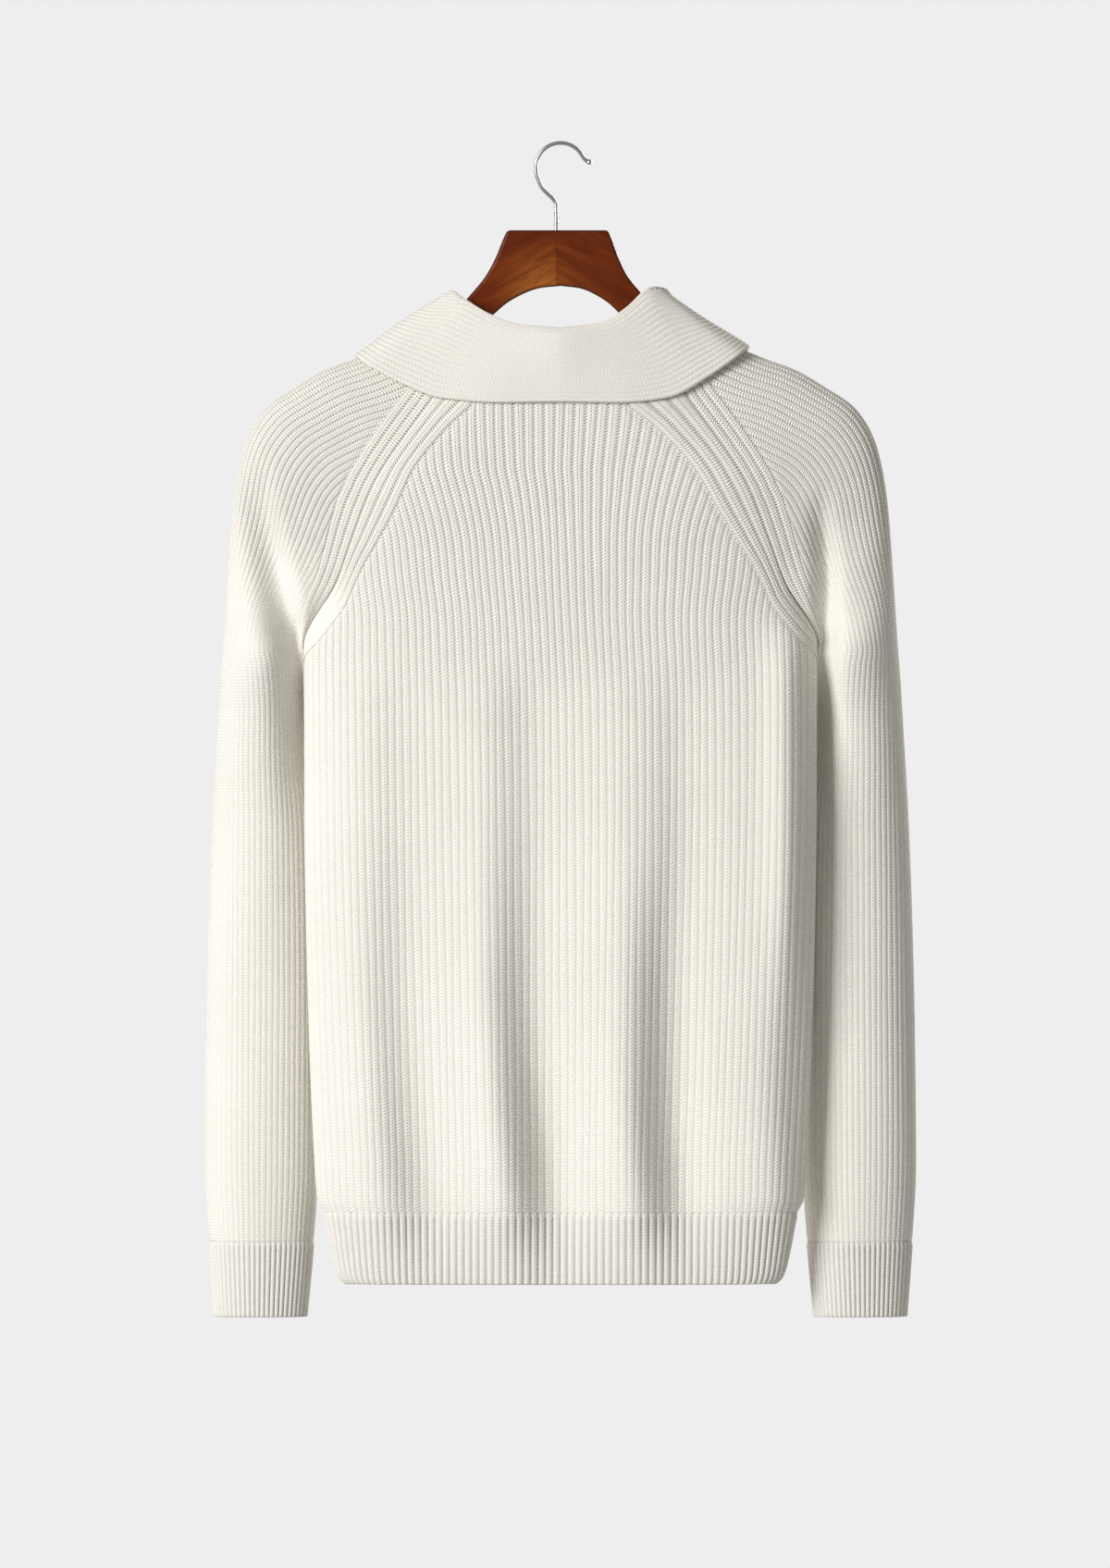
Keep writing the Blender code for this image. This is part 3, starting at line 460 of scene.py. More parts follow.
class Bench:
    """A material's node tree, with short ways to add to it."""

    def __init__(self, name: str) -> None:
        """Start a material with a Principled shader.

        Args:
            name: The material's name.
        """
        self.material = bpy.data.materials.new(name)
        self.material.use_nodes = True
        self.tree = self.material.node_tree
        self.shader = self.tree.nodes["Principled BSDF"]

    def node(self, kind: str, **settings: object) -> bpy.types.Node:
        """Add a node and set its properties.

        Args:
            kind: The node's type.
            settings: Its properties' values.

        Returns:
            The node.
        """
        made = self.tree.nodes.new(kind)
        for key, value in settings.items():
            setattr(made, key, value)
        return made

    def put(self, socket: bpy.types.NodeSocket, value: object) -> None:
        """Link or set an input.

        Args:
            socket: The input.
            value: An output or a plain value.
        """
        if isinstance(value, bpy.types.NodeSocket):
            self.tree.links.new(value, socket)
        else:
            socket.default_value = value

    def set(self, **values: object) -> None:
        """Link or set the shader's inputs, named with underscores."""
        for name, value in values.items():
            self.put(self.shader.inputs[name.replace("_", " ")], value)

    def math(self, operation: str, *values: object) -> bpy.types.NodeSocket:
        """Work out a number.

        Args:
            operation: What to do.
            values: What to do it with.

        Returns:
            The result's output.
        """
        made = self.node("ShaderNodeMath", operation=operation)
        for socket, value in zip(made.inputs, values):
            self.put(socket, value)
        return made.outputs[0]

    def plus(self, first: object, second: object) -> bpy.types.NodeSocket:
        """Add two numbers."""
        return self.math("ADD", first, second)

    def minus(self, first: object, second: object) -> bpy.types.NodeSocket:
        """Take the second number from the first."""
        return self.math("SUBTRACT", first, second)

    def times(self, first: object, second: object) -> bpy.types.NodeSocket:
        """Multiply two numbers."""
        return self.math("MULTIPLY", first, second)

    def wave(self, turns: object) -> bpy.types.NodeSocket:
        """Swing from -1 to 1 once in each whole number."""
        return self.math("SINE", self.times(turns, 2.0 * math.pi))

    def step(self, value: object, low: float, high: float, start: float = 0.0,
             end: float = 1.0) -> bpy.types.NodeSocket:
        """Turn a number smoothly from `start` at `low` into `end` at `high`.

        Args:
            value: The number.
            low: Where the turn begins.
            high: Where it ends.
            start: The result up to there.
            end: The result from there on.

        Returns:
            The result's output.
        """
        made = self.node("ShaderNodeMapRange", interpolation_type="SMOOTHSTEP")
        for name, number in (("Value", value), ("From Min", low), ("From Max", high),
                             ("To Min", start), ("To Max", end)):
            self.put(made.inputs[name], number)
        return made.outputs[0]

    def noise(self, place: object, scale: float, detail: float = 2.0,
              distortion: float = 0.0) -> bpy.types.NodeSocket:
        """Add a noise pattern.

        Args:
            place: Where it is read.
            scale: How fine it is, in each metre.
            detail: How many finer layers it has.
            distortion: How much it is warped.

        Returns:
            Its output, from 0 to 1.
        """
        made = self.node("ShaderNodeTexNoise")
        for name, number in (("Vector", place), ("Scale", scale), ("Detail", detail),
                             ("Distortion", distortion)):
            self.put(made.inputs[name], number)
        return made.outputs[0]

    def mix(self, share: object, first: object, second: object) -> bpy.types.NodeSocket:
        """Blend two colours.

        Args:
            share: Share of the second.
            first: One colour.
            second: The other.

        Returns:
            The blend's output.
        """
        made = self.node("ShaderNodeMix", data_type="RGBA")
        self.put(made.inputs[0], share)
        for socket, value in zip(made.inputs[6:8], (first, second)):
            self.put(socket, value if isinstance(value, bpy.types.NodeSocket) else (*value, 1.0))
        return made.outputs[2]

    def bump(self, height: object, strength: float, distance: float,
             normal: object = None) -> bpy.types.NodeSocket:
        """Raise a pattern.

        Args:
            height: The pattern.
            strength: How much of it counts.
            distance: Its height in millimetres.
            normal: The surface under it, where that is raised too.

        Returns:
            The surface's output.
        """
        made = self.node("ShaderNodeBump")
        self.put(made.inputs["Strength"], strength)
        self.put(made.inputs["Distance"], distance * MM)
        self.put(made.inputs["Height"], height)
        if normal is not None:
            self.put(made.inputs["Normal"], normal)
        return made.outputs[0]

    def object_place(self) -> bpy.types.NodeSocket:
        """The point's place on the object."""
        return self.node("ShaderNodeTexCoord").outputs["Object"]

    def axes(self, place: object) -> list[bpy.types.NodeSocket]:
        """Split a place into its three numbers.

        Args:
            place: The place.

        Returns:
            The outputs of X, Y and Z.
        """
        made = self.node("ShaderNodeSeparateXYZ")
        self.put(made.inputs[0], place)
        return list(made.outputs)


class KnitPattern(NamedTuple):
    """What a knit finish works out for each point."""

    openness: bpy.types.NodeSocket      # as a Patch gives it
    loops: bpy.types.NodeSocket         # -1 between two stitches, 1 on a stitch
    in_groove: bpy.types.NodeSocket     # 1 in a groove, 0 on a rib
    hole: bpy.types.NodeSocket          # 1 in a hole
    middle: bpy.types.NodeSocket        # 1 where a stitch's two halves meet
    between: bpy.types.NodeSocket       # 1 between one stitch and the next
    fuzz: bpy.types.NodeSocket          # the brushed hairs


@dataclass(frozen=True)
class KnitFinish:
    """Brushed wool, with a chain of stitches up each rib and holes in the grooves, darkened there by
    painted shade.
    """

    name: str
    crest: Colour = (0.89, 0.865, 0.797)
    # Painted shade: the darker colour that the grooves take.
    groove: Colour = (0.78, 0.757, 0.695)
    stitch: float = 0.65        # how far the stitches stand out
    stitch_height: float = 0.45
    middle_depth: float = 1.3   # depths as a share of a stitch's own height
    hole_depth: float = 2.6
    holes: float = 0.55         # how much painted shade darkens the holes between the ribs,
    middles: float = 0.11       # the middles of the stitches,
    gaps: float = 0.08          # and the gaps between them
    fuzz: float = 0.2           # how rough the brushed surface is
    fuzz_height: float = 0.5
    straying: float = 1.2       # rows by which the stitches stray up and down
    vee: float = 1.1            # rows by which a stitch's sides lie off its middle
    slant: float = 2.2          # rows by which the holes slant across a groove

    def pattern(self, bench: Bench, place: bpy.types.NodeSocket) -> KnitPattern:
        """Work out the stitches from the counts of ribs and rows.

        Args:
            bench: The material's node tree.
            place: The point's place on the object.

        Returns:
            The pattern's parts.
        """
        marks = bench.node("ShaderNodeUVMap", uv_map="knit").outputs[0]
        rib, course, _ = bench.axes(marks)
        openness = bench.node("ShaderNodeAttribute", attribute_name="openness").outputs["Fac"]
        from_groove = bench.minus(bench.math("FRACT", bench.plus(rib, 0.5)), 0.5)
        apart = bench.math("ABSOLUTE", from_groove)
        from_crest = bench.minus(0.5, apart)
        in_groove = bench.step(apart, 0.05, 0.21, 1.0, 0.0)
        row = bench.plus(course, bench.times(bench.noise(place, 60.0), self.straying))
        loops = bench.wave(bench.plus(row, bench.times(from_crest, self.vee)))
        slots = bench.wave(bench.plus(row, bench.times(from_groove, self.slant)))
        hole = bench.times(bench.times(bench.step(slots, -0.1, 0.9), in_groove), openness)
        middle = bench.times(bench.step(from_crest, 0.0, 0.1, 1.0, 0.0),
                             bench.step(openness, 0.3, 1.0, 0.25, 1.0))
        between = bench.times(bench.step(loops, -1.0, -0.3, 1.0, 0.0),
                              bench.step(openness, -0.3, 1.0, 0.3, 1.0))
        fuzz = bench.noise(place, 900.0, 4.0, 0.6)
        return KnitPattern(openness, loops, in_groove, hole, middle, between, fuzz)

    def height(self, bench: Bench, pattern: KnitPattern) -> bpy.types.NodeSocket:
        """How far each point of the stitches stands out.

        Args:
            bench: The material's node tree.
            pattern: The stitches.

        Returns:
            The height's output.
        """
        height = bench.times(pattern.loops, bench.minus(1.0, pattern.in_groove))
        height = bench.times(height, bench.step(pattern.openness, 0.1, 1.0, 0.7, 1.0))
        height = bench.minus(height, bench.times(pattern.middle, self.middle_depth))
        return bench.minus(height, bench.times(pattern.hole, self.hole_depth))

    def tone(self, bench: Bench, pattern: KnitPattern,
             place: bpy.types.NodeSocket) -> bpy.types.NodeSocket:
        """Colour the wool, with painted shade in the grooves, the holes and between the stitches, and
        a little mottled.

        Args:
            bench: The material's node tree.
            pattern: The stitches.
            place: The point's place on the object.

        Returns:
            The colour's output.
        """
        # Painted shade: the grooves take the groove colour, more of it where the knit is open.
        depth = bench.plus(bench.times(pattern.openness, 0.38), 0.3)
        colour = bench.mix(bench.times(pattern.in_groove, depth), self.crest, self.groove)
        # Painted shade: the holes, the stitches' middles and the gaps between stitches are darkened.
        light = bench.minus(1.0, bench.times(pattern.hole, self.holes))
        light = bench.minus(light, bench.times(pattern.middle, self.middles))
        light = bench.minus(light, bench.times(pattern.between, self.gaps))
        patches = bench.noise(place, 14.0, 3.0)
        tufts = bench.noise(place, 380.0, 3.0, 0.4)
        for mottle, darkest in ((patches, 0.97), (tufts, 0.965), (pattern.fuzz, 0.96)):
            light = bench.times(light, bench.step(mottle, 0.3, 0.7, darkest, 1.0))
        shaded = bench.node("ShaderNodeVectorMath", operation="SCALE")
        bench.put(shaded.inputs[0], colour)
        bench.put(shaded.inputs["Scale"], light)
        return shaded.outputs[0]

    def build(self) -> bpy.types.Material:
        """Make the material.

        Returns:
            The finished material.
        """
        bench = Bench(self.name)
        place = bench.object_place()
        pattern = self.pattern(bench, place)
        brushed = bench.bump(pattern.fuzz, self.fuzz, self.fuzz_height)
        height = self.height(bench, pattern)
        bench.set(Base_Color=self.tone(bench, pattern, place), Roughness=0.92,
                  Specular_IOR_Level=0.18, Sheen_Weight=0.25, Sheen_Roughness=0.55,
                  Sheen_Tint=(1.0, 0.98, 0.93, 1.0),
                  Normal=bench.bump(height, self.stitch, self.stitch_height, brushed))
        return bench.material


@dataclass(frozen=True)
class WoodFinish:
    """Red-brown lacquered wood, glued at the middle, with its grain along the arms, painted shade on
    its rims and its -X side, and painted light low in its middle.
    """

    name: str
    dark: Colour = (0.095, 0.014, 0.003)
    middle: Colour = (0.18, 0.036, 0.006)
    # painted light: the paler colour of the lit patch
    light: Colour = (0.42, 0.14, 0.025)
    # painted shade laid on the rounded rims
    rim: Colour = (0.02, 0.006, 0.005)
    glue_x: float = 3.4         # where the two halves meet
    glue_blur: float = 0.5
    slope: float = 0.55         # how the grain falls along an arm
    stretch: float = 0.16       # share to which the grain is stretched along an arm

    def grain_place(self, bench: Bench, place: bpy.types.NodeSocket,
                    away: bpy.types.NodeSocket) -> bpy.types.NodeSocket:
        """Lay the grain along both arms.

        Args:
            bench: The material's node tree.
            place: The point's place on the object.
            away: Its distance from where the halves meet.

        Returns:
            Its place in the grain.
        """
        x, y, z = bench.axes(place)
        made = bench.node("ShaderNodeCombineXYZ")
        fall = bench.plus(z, bench.times(away, self.slope))
        for socket, value in zip(made.inputs, (bench.times(x, self.stretch), y, fall)):
            bench.put(socket, value)
        return made.outputs[0]

    def build(self) -> bpy.types.Material:
        """Make the material.

        Returns:
            The finished material.
        """
        bench = Bench(self.name)
        place = bench.object_place()
        x, _, z = bench.axes(place)
        away = bench.math("ABSOLUTE", bench.minus(x, self.glue_x * MM))
        in_grain = self.grain_place(bench, place, away)
        grain = bench.noise(in_grain, 330.0, 6.0, 0.8)
        figure = bench.noise(in_grain, 60.0, 3.0, 1.5)
        pores = bench.noise(in_grain, 1500.0, 3.0)
        # Painted light: a paler patch low in the middle, full on the +X half, which faces the key
        # light, and weaker on the -X half.
        painted_light_area = bench.times(bench.step(z, -0.12, -0.07, 1.0, 0.0),
                           bench.step(away, 0.0, 0.055, 1.0, 0.0))
        halves = bench.step(x, (self.glue_x - self.glue_blur) * MM,
                                (self.glue_x + self.glue_blur) * MM, 0.3)
        painted_light = bench.times(bench.times(painted_light_area, halves), bench.step(grain, 0.25, 0.75, 0.55, 1.0))
        colour = bench.mix(bench.step(figure, 0.3, 0.72), self.dark, self.middle)
        colour = bench.mix(painted_light, colour, self.light)
        colour = bench.mix(bench.step(grain, 0.35, 0.62, 0.22, 0.0), colour, self.dark)
        # Painted shade: the -X side, away from the key light, is darkened.
        colour = bench.mix(bench.step(x, -0.03, 0.003, 0.5, 0.0), colour, self.dark)
        colour = bench.mix(bench.step(away, 0.0001, 0.0006, 0.5, 0.0), colour, self.dark)
        # Painted shade: the rims, whose normals turn away from front and back, darken toward the rim
        # colour.
        _, facing, _ = bench.axes(bench.node("ShaderNodeTexCoord").outputs["Normal"])
        shaded_rim = bench.step(bench.math("ABSOLUTE", facing), 0.3, 0.95, 0.85, 0.0)
        colour = bench.mix(shaded_rim, colour, self.rim)
        bench.set(Base_Color=colour, Roughness=bench.step(pores, 0.3, 0.7, 0.3, 0.42),
                  Coat_Weight=0.05, Coat_Roughness=0.12, Specular_IOR_Level=0.08,
                  Normal=bench.bump(grain, 0.12, 0.15))
        return bench.material


@dataclass(frozen=True)
class WireFinish:
    """Polished plated steel with faint drawing marks."""

    name: str
    colour: Colour = (0.55, 0.54, 0.52)
    smeared: Colour = (0.36, 0.35, 0.335)

    def build(self) -> bpy.types.Material:
        """Make the material.

        Returns:
            The finished material.
        """
        bench = Bench(self.name)
        place = bench.object_place()
        smear = bench.noise(place, 240.0, 3.0)
        tint = bench.mix(bench.step(smear, 0.35, 0.75, 0.0, 0.35), self.colour, self.smeared)
        bench.set(Base_Color=tint, Metallic=1.0,
                  Roughness=bench.step(smear, 0.3, 0.7, 0.26, 0.36))
        return bench.material


@dataclass(frozen=True)
class FloorFinish:
    """A pale matte floor that thins out toward its rim."""

    name: str
    colour: Colour = (0.44, 0.44, 0.44)
    solid_to: float = 1.5       # metres from the middle
    gone_at: float = 2.6        # metres

    def build(self) -> bpy.types.Material:
        """Make the material.

        Returns:
            The finished material.
        """
        bench = Bench(self.name)
        away = bench.node("ShaderNodeVectorMath", operation="LENGTH")
        bench.put(away.inputs[0], bench.object_place())
        bench.set(Base_Color=(*self.colour, 1.0), Roughness=0.9,
                  Alpha=bench.step(away.outputs["Value"], self.solid_to, self.gone_at, 1.0, 0.0))
        return bench.material


# ---------------------------------------------------------------------- pieces


@dataclass
class Patch:
    """Points of a knitted area, with what its finish reads."""

    points: Array       # [point, axis]
    rib: Array          # counts ribs across; a whole number is a groove
    course: Array       # counts stitch rows
    openness: Array     # 0 is closed knit, 1 shows its holes, below 0 it is smooth


class KnitPiece:
    """One knitted piece, grown from grids of points."""

    def __init__(self, name: str) -> None:
        """Start an empty piece.

        Args:
            name: The piece's name.
        """
        self.name = name
        self.mesh = bmesh.new()
        self.marks = self.mesh.loops.layers.uv.new("knit")
        self.openness = self.mesh.verts.layers.float.new("openness")

    def lay(self, columns: int, rows: int, patch_of: Callable[[Array, Array], Patch]) -> None:
        """Add a grid.

        Args:
            columns: Its faces across.
            rows: Its faces along.
            patch_of: Gives the points at grid places (i, j).
        """
        known = len(self.mesh.faces)
        grid = bmesh.ops.create_grid(self.mesh, x_segments=columns, y_segments=rows, size=0.5)
        verts = grid["verts"]
        flat = np.array([vert.co[:2] for vert in verts])
        spots = np.rint((flat + 0.5) * (columns, rows))
        patch = patch_of(spots[:, 0], spots[:, 1])
        number = {}
        for index, (vert, point) in enumerate(zip(verts, patch.points * MM)):
            vert.co = point
            vert[self.openness] = patch.openness[index]
            number[vert] = index
        marks = np.stack((patch.rib, patch.course), axis=1)
        self.mesh.faces.ensure_lookup_table()
        for face in self.mesh.faces[known:]:
            face.smooth = True
            for loop in face.loops:
                loop[self.marks].uv = marks[number[loop.vert]]

    def close_up(self, outward: tuple[float, float, float], reach: float = 0.3) -> None:
        """Join what meets, and face the piece outward.

        Args:
            outward: A way in which its farthest face looks.
            reach: How far apart edges may be that meet.
        """
        mesh = self.mesh
        bmesh.ops.remove_doubles(mesh, verts=mesh.verts[:], dist=TOUCHING * MM)
        rims = [vert for vert in mesh.verts if vert.is_boundary]
        bmesh.ops.remove_doubles(mesh, verts=rims, dist=reach * MM)
        bmesh.ops.recalc_face_normals(mesh, faces=mesh.faces[:])
        way = Vector(outward)
        farthest = max(mesh.faces, key=lambda face: face.calc_center_median().dot(way))
        if farthest.normal.dot(way) < 0.0:
            bmesh.ops.reverse_faces(mesh, faces=mesh.faces[:])

    def finish(self, material: bpy.types.Material) -> bpy.types.Object:
        """Make the object."""
        return make_object(self.name, self.mesh, material)


def make_object(name: str, mesh: bmesh.types.BMesh,
                material: bpy.types.Material) -> bpy.types.Object:
    """Put a finished mesh in the scene.

    Args:
        name: The object's name.
        mesh: Its form, which is used up.
        material: Its finish.

    Returns:
        The object.
    """
    data = bpy.data.meshes.new(name)
    mesh.to_mesh(data)
    mesh.free()
    data.materials.append(material)
    obj = bpy.data.objects.new(name, data)
    bpy.context.scene.collection.objects.link(obj)
    return obj


def rib_relief(rib: Array, rise: float, sink: float, share: Array | float = 1.0) -> Array:
    """Relief of a rib knit: rounded ribs with narrow grooves at the whole numbers.

    Args:
        rib: Places across, counted in ribs.
        rise: How far the ribs stand out.
        sink: How deep the grooves are.
        share: How much of their height over the grooves the ribs have.

    Returns:
        How far each place is lifted.
    """
    return (rise + sink) * np.abs(np.sin(np.pi * rib)) ** 0.5 * share - sink


def seam_start(distance: Array) -> Array:
    """Share of their height that ribs have at a distance from a band's seam."""
    return blend(SEAM_RELIEF, 1.0, soft_step(distance, 0.0, SEAM_EASE))


def band_relief(share: Array, tuck: Array, calm: Array) -> Array:
    """Relief of a raglan band.

    Args:
        share: Places across the band, from 0 to 1.
        tuck: How far its edge tucks under the next piece, from 0 to 1.
        calm: How smooth it is, from 0 to 1.

    Returns:
        How far each place is lifted.
    """
    ribs = rib_relief(share * BAND_RIBS, BAND_RISE, RIB_SINK)
    return ribs * (1.0 - tuck) * (1.0 - calm) - TUCK_DEPTH * tuck


class Stray(NamedTuple):
    """A slow wave by which ribs stray from their even spacing."""

    ribs: float         # how far they stray
    length: float       # length of one radian of the wave
    turn: float         # radians by which the next rib's wave is ahead


def strayed(rib: Array, along: Array, last: float, waves: Sequence[Stray], share: Array) -> Array:
    """Let ribs stray a little, but not at the piece's edges.

    Args:
        rib: Places across, counted in ribs from the middle.
        along: Places along the ribs.
        last: The rib at the piece's edge.
        waves: How they stray.
        share: How much of it each place has.

    Returns:
        The places across where the ribs really lie.
    """
    wander = sum(wave.ribs * np.sin(along / wave.length + wave.turn * rib) for wave in waves)
    return rib + wander * (1.0 - (np.abs(rib) / last) ** 4) * share


def mirrored(points: Array, side: float) -> Array:
    """The points on the given side."""
    return points * np.array((side, 1.0, 1.0))


def lengths_along(points: Array) -> Array:
    """How far along a line of points each lies."""
    return np.concatenate(([0.0], np.cumsum(np.linalg.norm(np.diff(points, axis=0), axis=1))))


class BodyForm:
    """The front or back of the body, between the side or raglan seams."""

    RIBS = 35.0
    ROUNDNESS = 4.0
    SLICES = 300
    FINE_POINTS = 161       # of half a slice, before its points are evened out
    POINTS = 97
    FOLD_SPACING = 100.0
    FOLD_LIFT = 7.3
    UNEVEN_LIFT = (1.3, 0.88)           # share of it toward -X and toward +X,
    UNEVEN_X = (30.0, 120.0)            # and where it changes
    FOLD_SHARPNESS = 0.15
    BACK_SHIFT = 5.0        # how far toward +X a fold's valley lies on the back,
    FRONT_SHIFT = 40.0      # and on the front
    PLUS_SWAY = 9.0         # how much farther out the +X side's folds lie higher up,
    PLUS_SWAY_X = (-60.0, 20.0)
    PLUS_SWAY_HEIGHTS = (-790.0, -640.0)
    MINUS_SWAY = 8.0        # and the -X side's, whose places are measured toward -X
    MINUS_SWAY_X = (40.0, 80.0)
    MINUS_SWAY_HEIGHTS = (-650.0, -520.0)
    FOLD_LEAN = 10.0        # how far all folds lean toward -X at the hem
    LEAN_DEPTHS = (740.0, 870.0)
    SIDE_LEAN = 11.0        # how much farther those near the -X edge do
    SIDE_LEAN_X = (100.0, 170.0)
    EASE = 0.9              # height of the slow waves in the cloth,
    EASE_WAVES = (61.0, 83.0)           # one radian of them upward and across
    EASE_DEPTHS = (300.0, 420.0)
    RIDGE_LIFT = 11.0       # the ridge that stands out near the -X edge
    RIDGE_X = -179.0
    RIDGE_WIDTH = 17.0
    RIDGE_STARTS = (330.0, 420.0)       # depths under the hook between which it rises,
    RIDGE_SINKS = (580.0, 720.0)        # sinks to a quarter
    RIDGE_ENDS = (800.0, 860.0)         # and runs out
    FULL_HEIGHT = -790.0    # above it the body is at its full width

    def __init__(self, back: bool) -> None:
        """Sample the panel's level slices.

        Args:
            back: Whether it is the back panel.
        """
        self.back = back
        self.outward = 1.0 if back else -1.0
        self.table = Table(BODY_SECTIONS, "height")
        heights = np.linspace(self.table.knots[0], self.table.knots[-1], self.SLICES)
        across = np.sin(np.linspace(0.0, math.pi / 2.0, self.FINE_POINTS))[None, :]
        centre = self.table.at("back_y" if back else "front_y", heights)[:, None]
        edge = self.table.at("back_edge_y" if back else "front_edge_y", heights)[:, None]
        root = self.table.at("edge_root", heights)[:, None]
        y = blend(edge, centre, np.maximum(0.0, 1.0 - across ** self.ROUNDNESS) ** root)
        x = self.table.at("half_width", heights)[:, None] * across
        z = np.broadcast_to(heights[:, None], y.shape)
        slices = np.stack((x, y, z), axis=2)
        self.heights = heights
        self.lengths = np.linalg.norm(np.diff(slices, axis=1), axis=2).sum(axis=1)
        self.form = Form(heights[0], heights[-1], even_out(slices, self.POINTS))

    def fold_shift(self, x: Array, height: Array) -> Array:
        """How far toward +X a fold lies from its even place.

        Args:
            x: Places across.
            height: Their heights.

        Returns:
            How far, in millimetres.
        """
        start = self.BACK_SHIFT if self.back else self.FRONT_SHIFT
        plus_sway = soft_step(height, *self.PLUS_SWAY_HEIGHTS) * soft_step(x, *self.PLUS_SWAY_X)
        minus_sway = soft_step(height, *self.MINUS_SWAY_HEIGHTS) * soft_step(-x, *self.MINUS_SWAY_X)
        lean = self.FOLD_LEAN * soft_step(-height, *self.LEAN_DEPTHS)
        side_lean = self.SIDE_LEAN * soft_step(-x, *self.SIDE_LEAN_X)
        return start + self.PLUS_SWAY * plus_sway - self.MINUS_SWAY * minus_sway - lean - side_lean

    def ridge(self, x: Array, height: Array) -> Array:
        """How far the ridge near the -X edge stands out.

        Args:
            x: Places across.
            height: Their heights.

        Returns:
            How far, in millimetres.
        """
        lift = self.RIDGE_LIFT * np.exp(-((x - self.RIDGE_X) / self.RIDGE_WIDTH) ** 2)
        lift = lift * soft_step(-height, *self.RIDGE_STARTS)
        lift = lift * (1.0 - 0.75 * soft_step(-height, *self.RIDGE_SINKS))
        return lift * (1.0 - soft_step(-height, *self.RIDGE_ENDS))

    def fold_lift(self, x: Array, height: Array, share: Array) -> Array:
        """How far the hanging folds push the cloth out.

        Args:
            x: Places across.
            height: Their heights.
            share: How far across the half panel they lie, from 0 to 1.

        Returns:
            How far, in millimetres.
        """
        turn = 2.0 * np.pi * (x - self.fold_shift(x, height)) / self.FOLD_SPACING
        wave = -np.cos(turn) - self.FOLD_SHARPNESS * np.sin(2.0 * turn)
        uneven = blend(*self.UNEVEN_LIFT, soft_step(x, *self.UNEVEN_X))
        depth = self.FOLD_LIFT * self.table.at("folds", height)
        upward, sideways = self.EASE_WAVES
        ease = self.EASE * np.sin(height / upward + x / sideways)
        ease = ease * soft_step(-height, *self.EASE_DEPTHS)
        lift = (depth * wave * uneven + ease) * (1.0 - share ** 4)
        return lift + self.ridge(x, height) * (1.0 - share ** 8)

    def upright(self, share: Array, height: Array) -> Array:
        """Crowd the ribs at the sides where the hem draws in, so that the others hang straight.

        Args:
            share: Places across the half panel, from 0 to 1.
            height: Their heights.

        Returns:
            The places to which they move.
        """
        full = np.interp(self.FULL_HEIGHT, self.heights, self.lengths)
        drawn_in = np.maximum(full / np.interp(height, self.heights, self.lengths) - 1.0, 0.0)
        drawn_in = np.where(height < self.FULL_HEIGHT, drawn_in, 0.0)
        return share * (1.0 + drawn_in * (1.0 - share ** 4))

    def place(self, rib: Array, height: Array) -> Array:
        """The panel's points, at ribs counted from the centre line.

        Args:
            rib: Places across; below 0 they are on the -X side.
            height: Their heights.

        Returns:
            Points as [place, axis].
        """
        share = np.clip(np.abs(rib) / self.table.at("ribs", height), 0.0, 1.0)
        share = self.upright(share, height)
        points = self.form.at(height, share)
        points[:, 0] *= np.where(rib >= 0.0, 1.0, -1.0)
        points[:, 1] += self.outward * self.fold_lift(points[:, 0], height, share)
        if self.back:
            points[:, 0] += self.table.at("lean", height) * (1.0 - share ** 2)
        return points

    def lifted(self, rib: Array, height: Array, relief: Array) -> Array:
        """The panel's points lifted off its surface."""
        return raised(self.place, rib, height, relief, SLOPE_REACH, -self.outward)


class NeckEdge(NamedTuple):
    """The edge of a body panel at the neck."""

    corner_rib: float       # where it meets the raglan seams
    centre: float           # its height at the centre line
    power: float            # 1 runs straight to the corner, 2 runs there in a bow
    seam_top: float         # height of the raglan seam's upper end


class NeckShape(Enum):
    """The necks of the back and of the front."""

    SCOOP = NeckEdge(4.6, -168.0, 2.0, -154.0)
    VEE = NeckEdge(8.0, -345.0, 1.0, -166.0)


class Cut(NamedTuple):
    """A cloth piece laid flat, in metres and square metres."""

    width: float
    length: float
    area: float


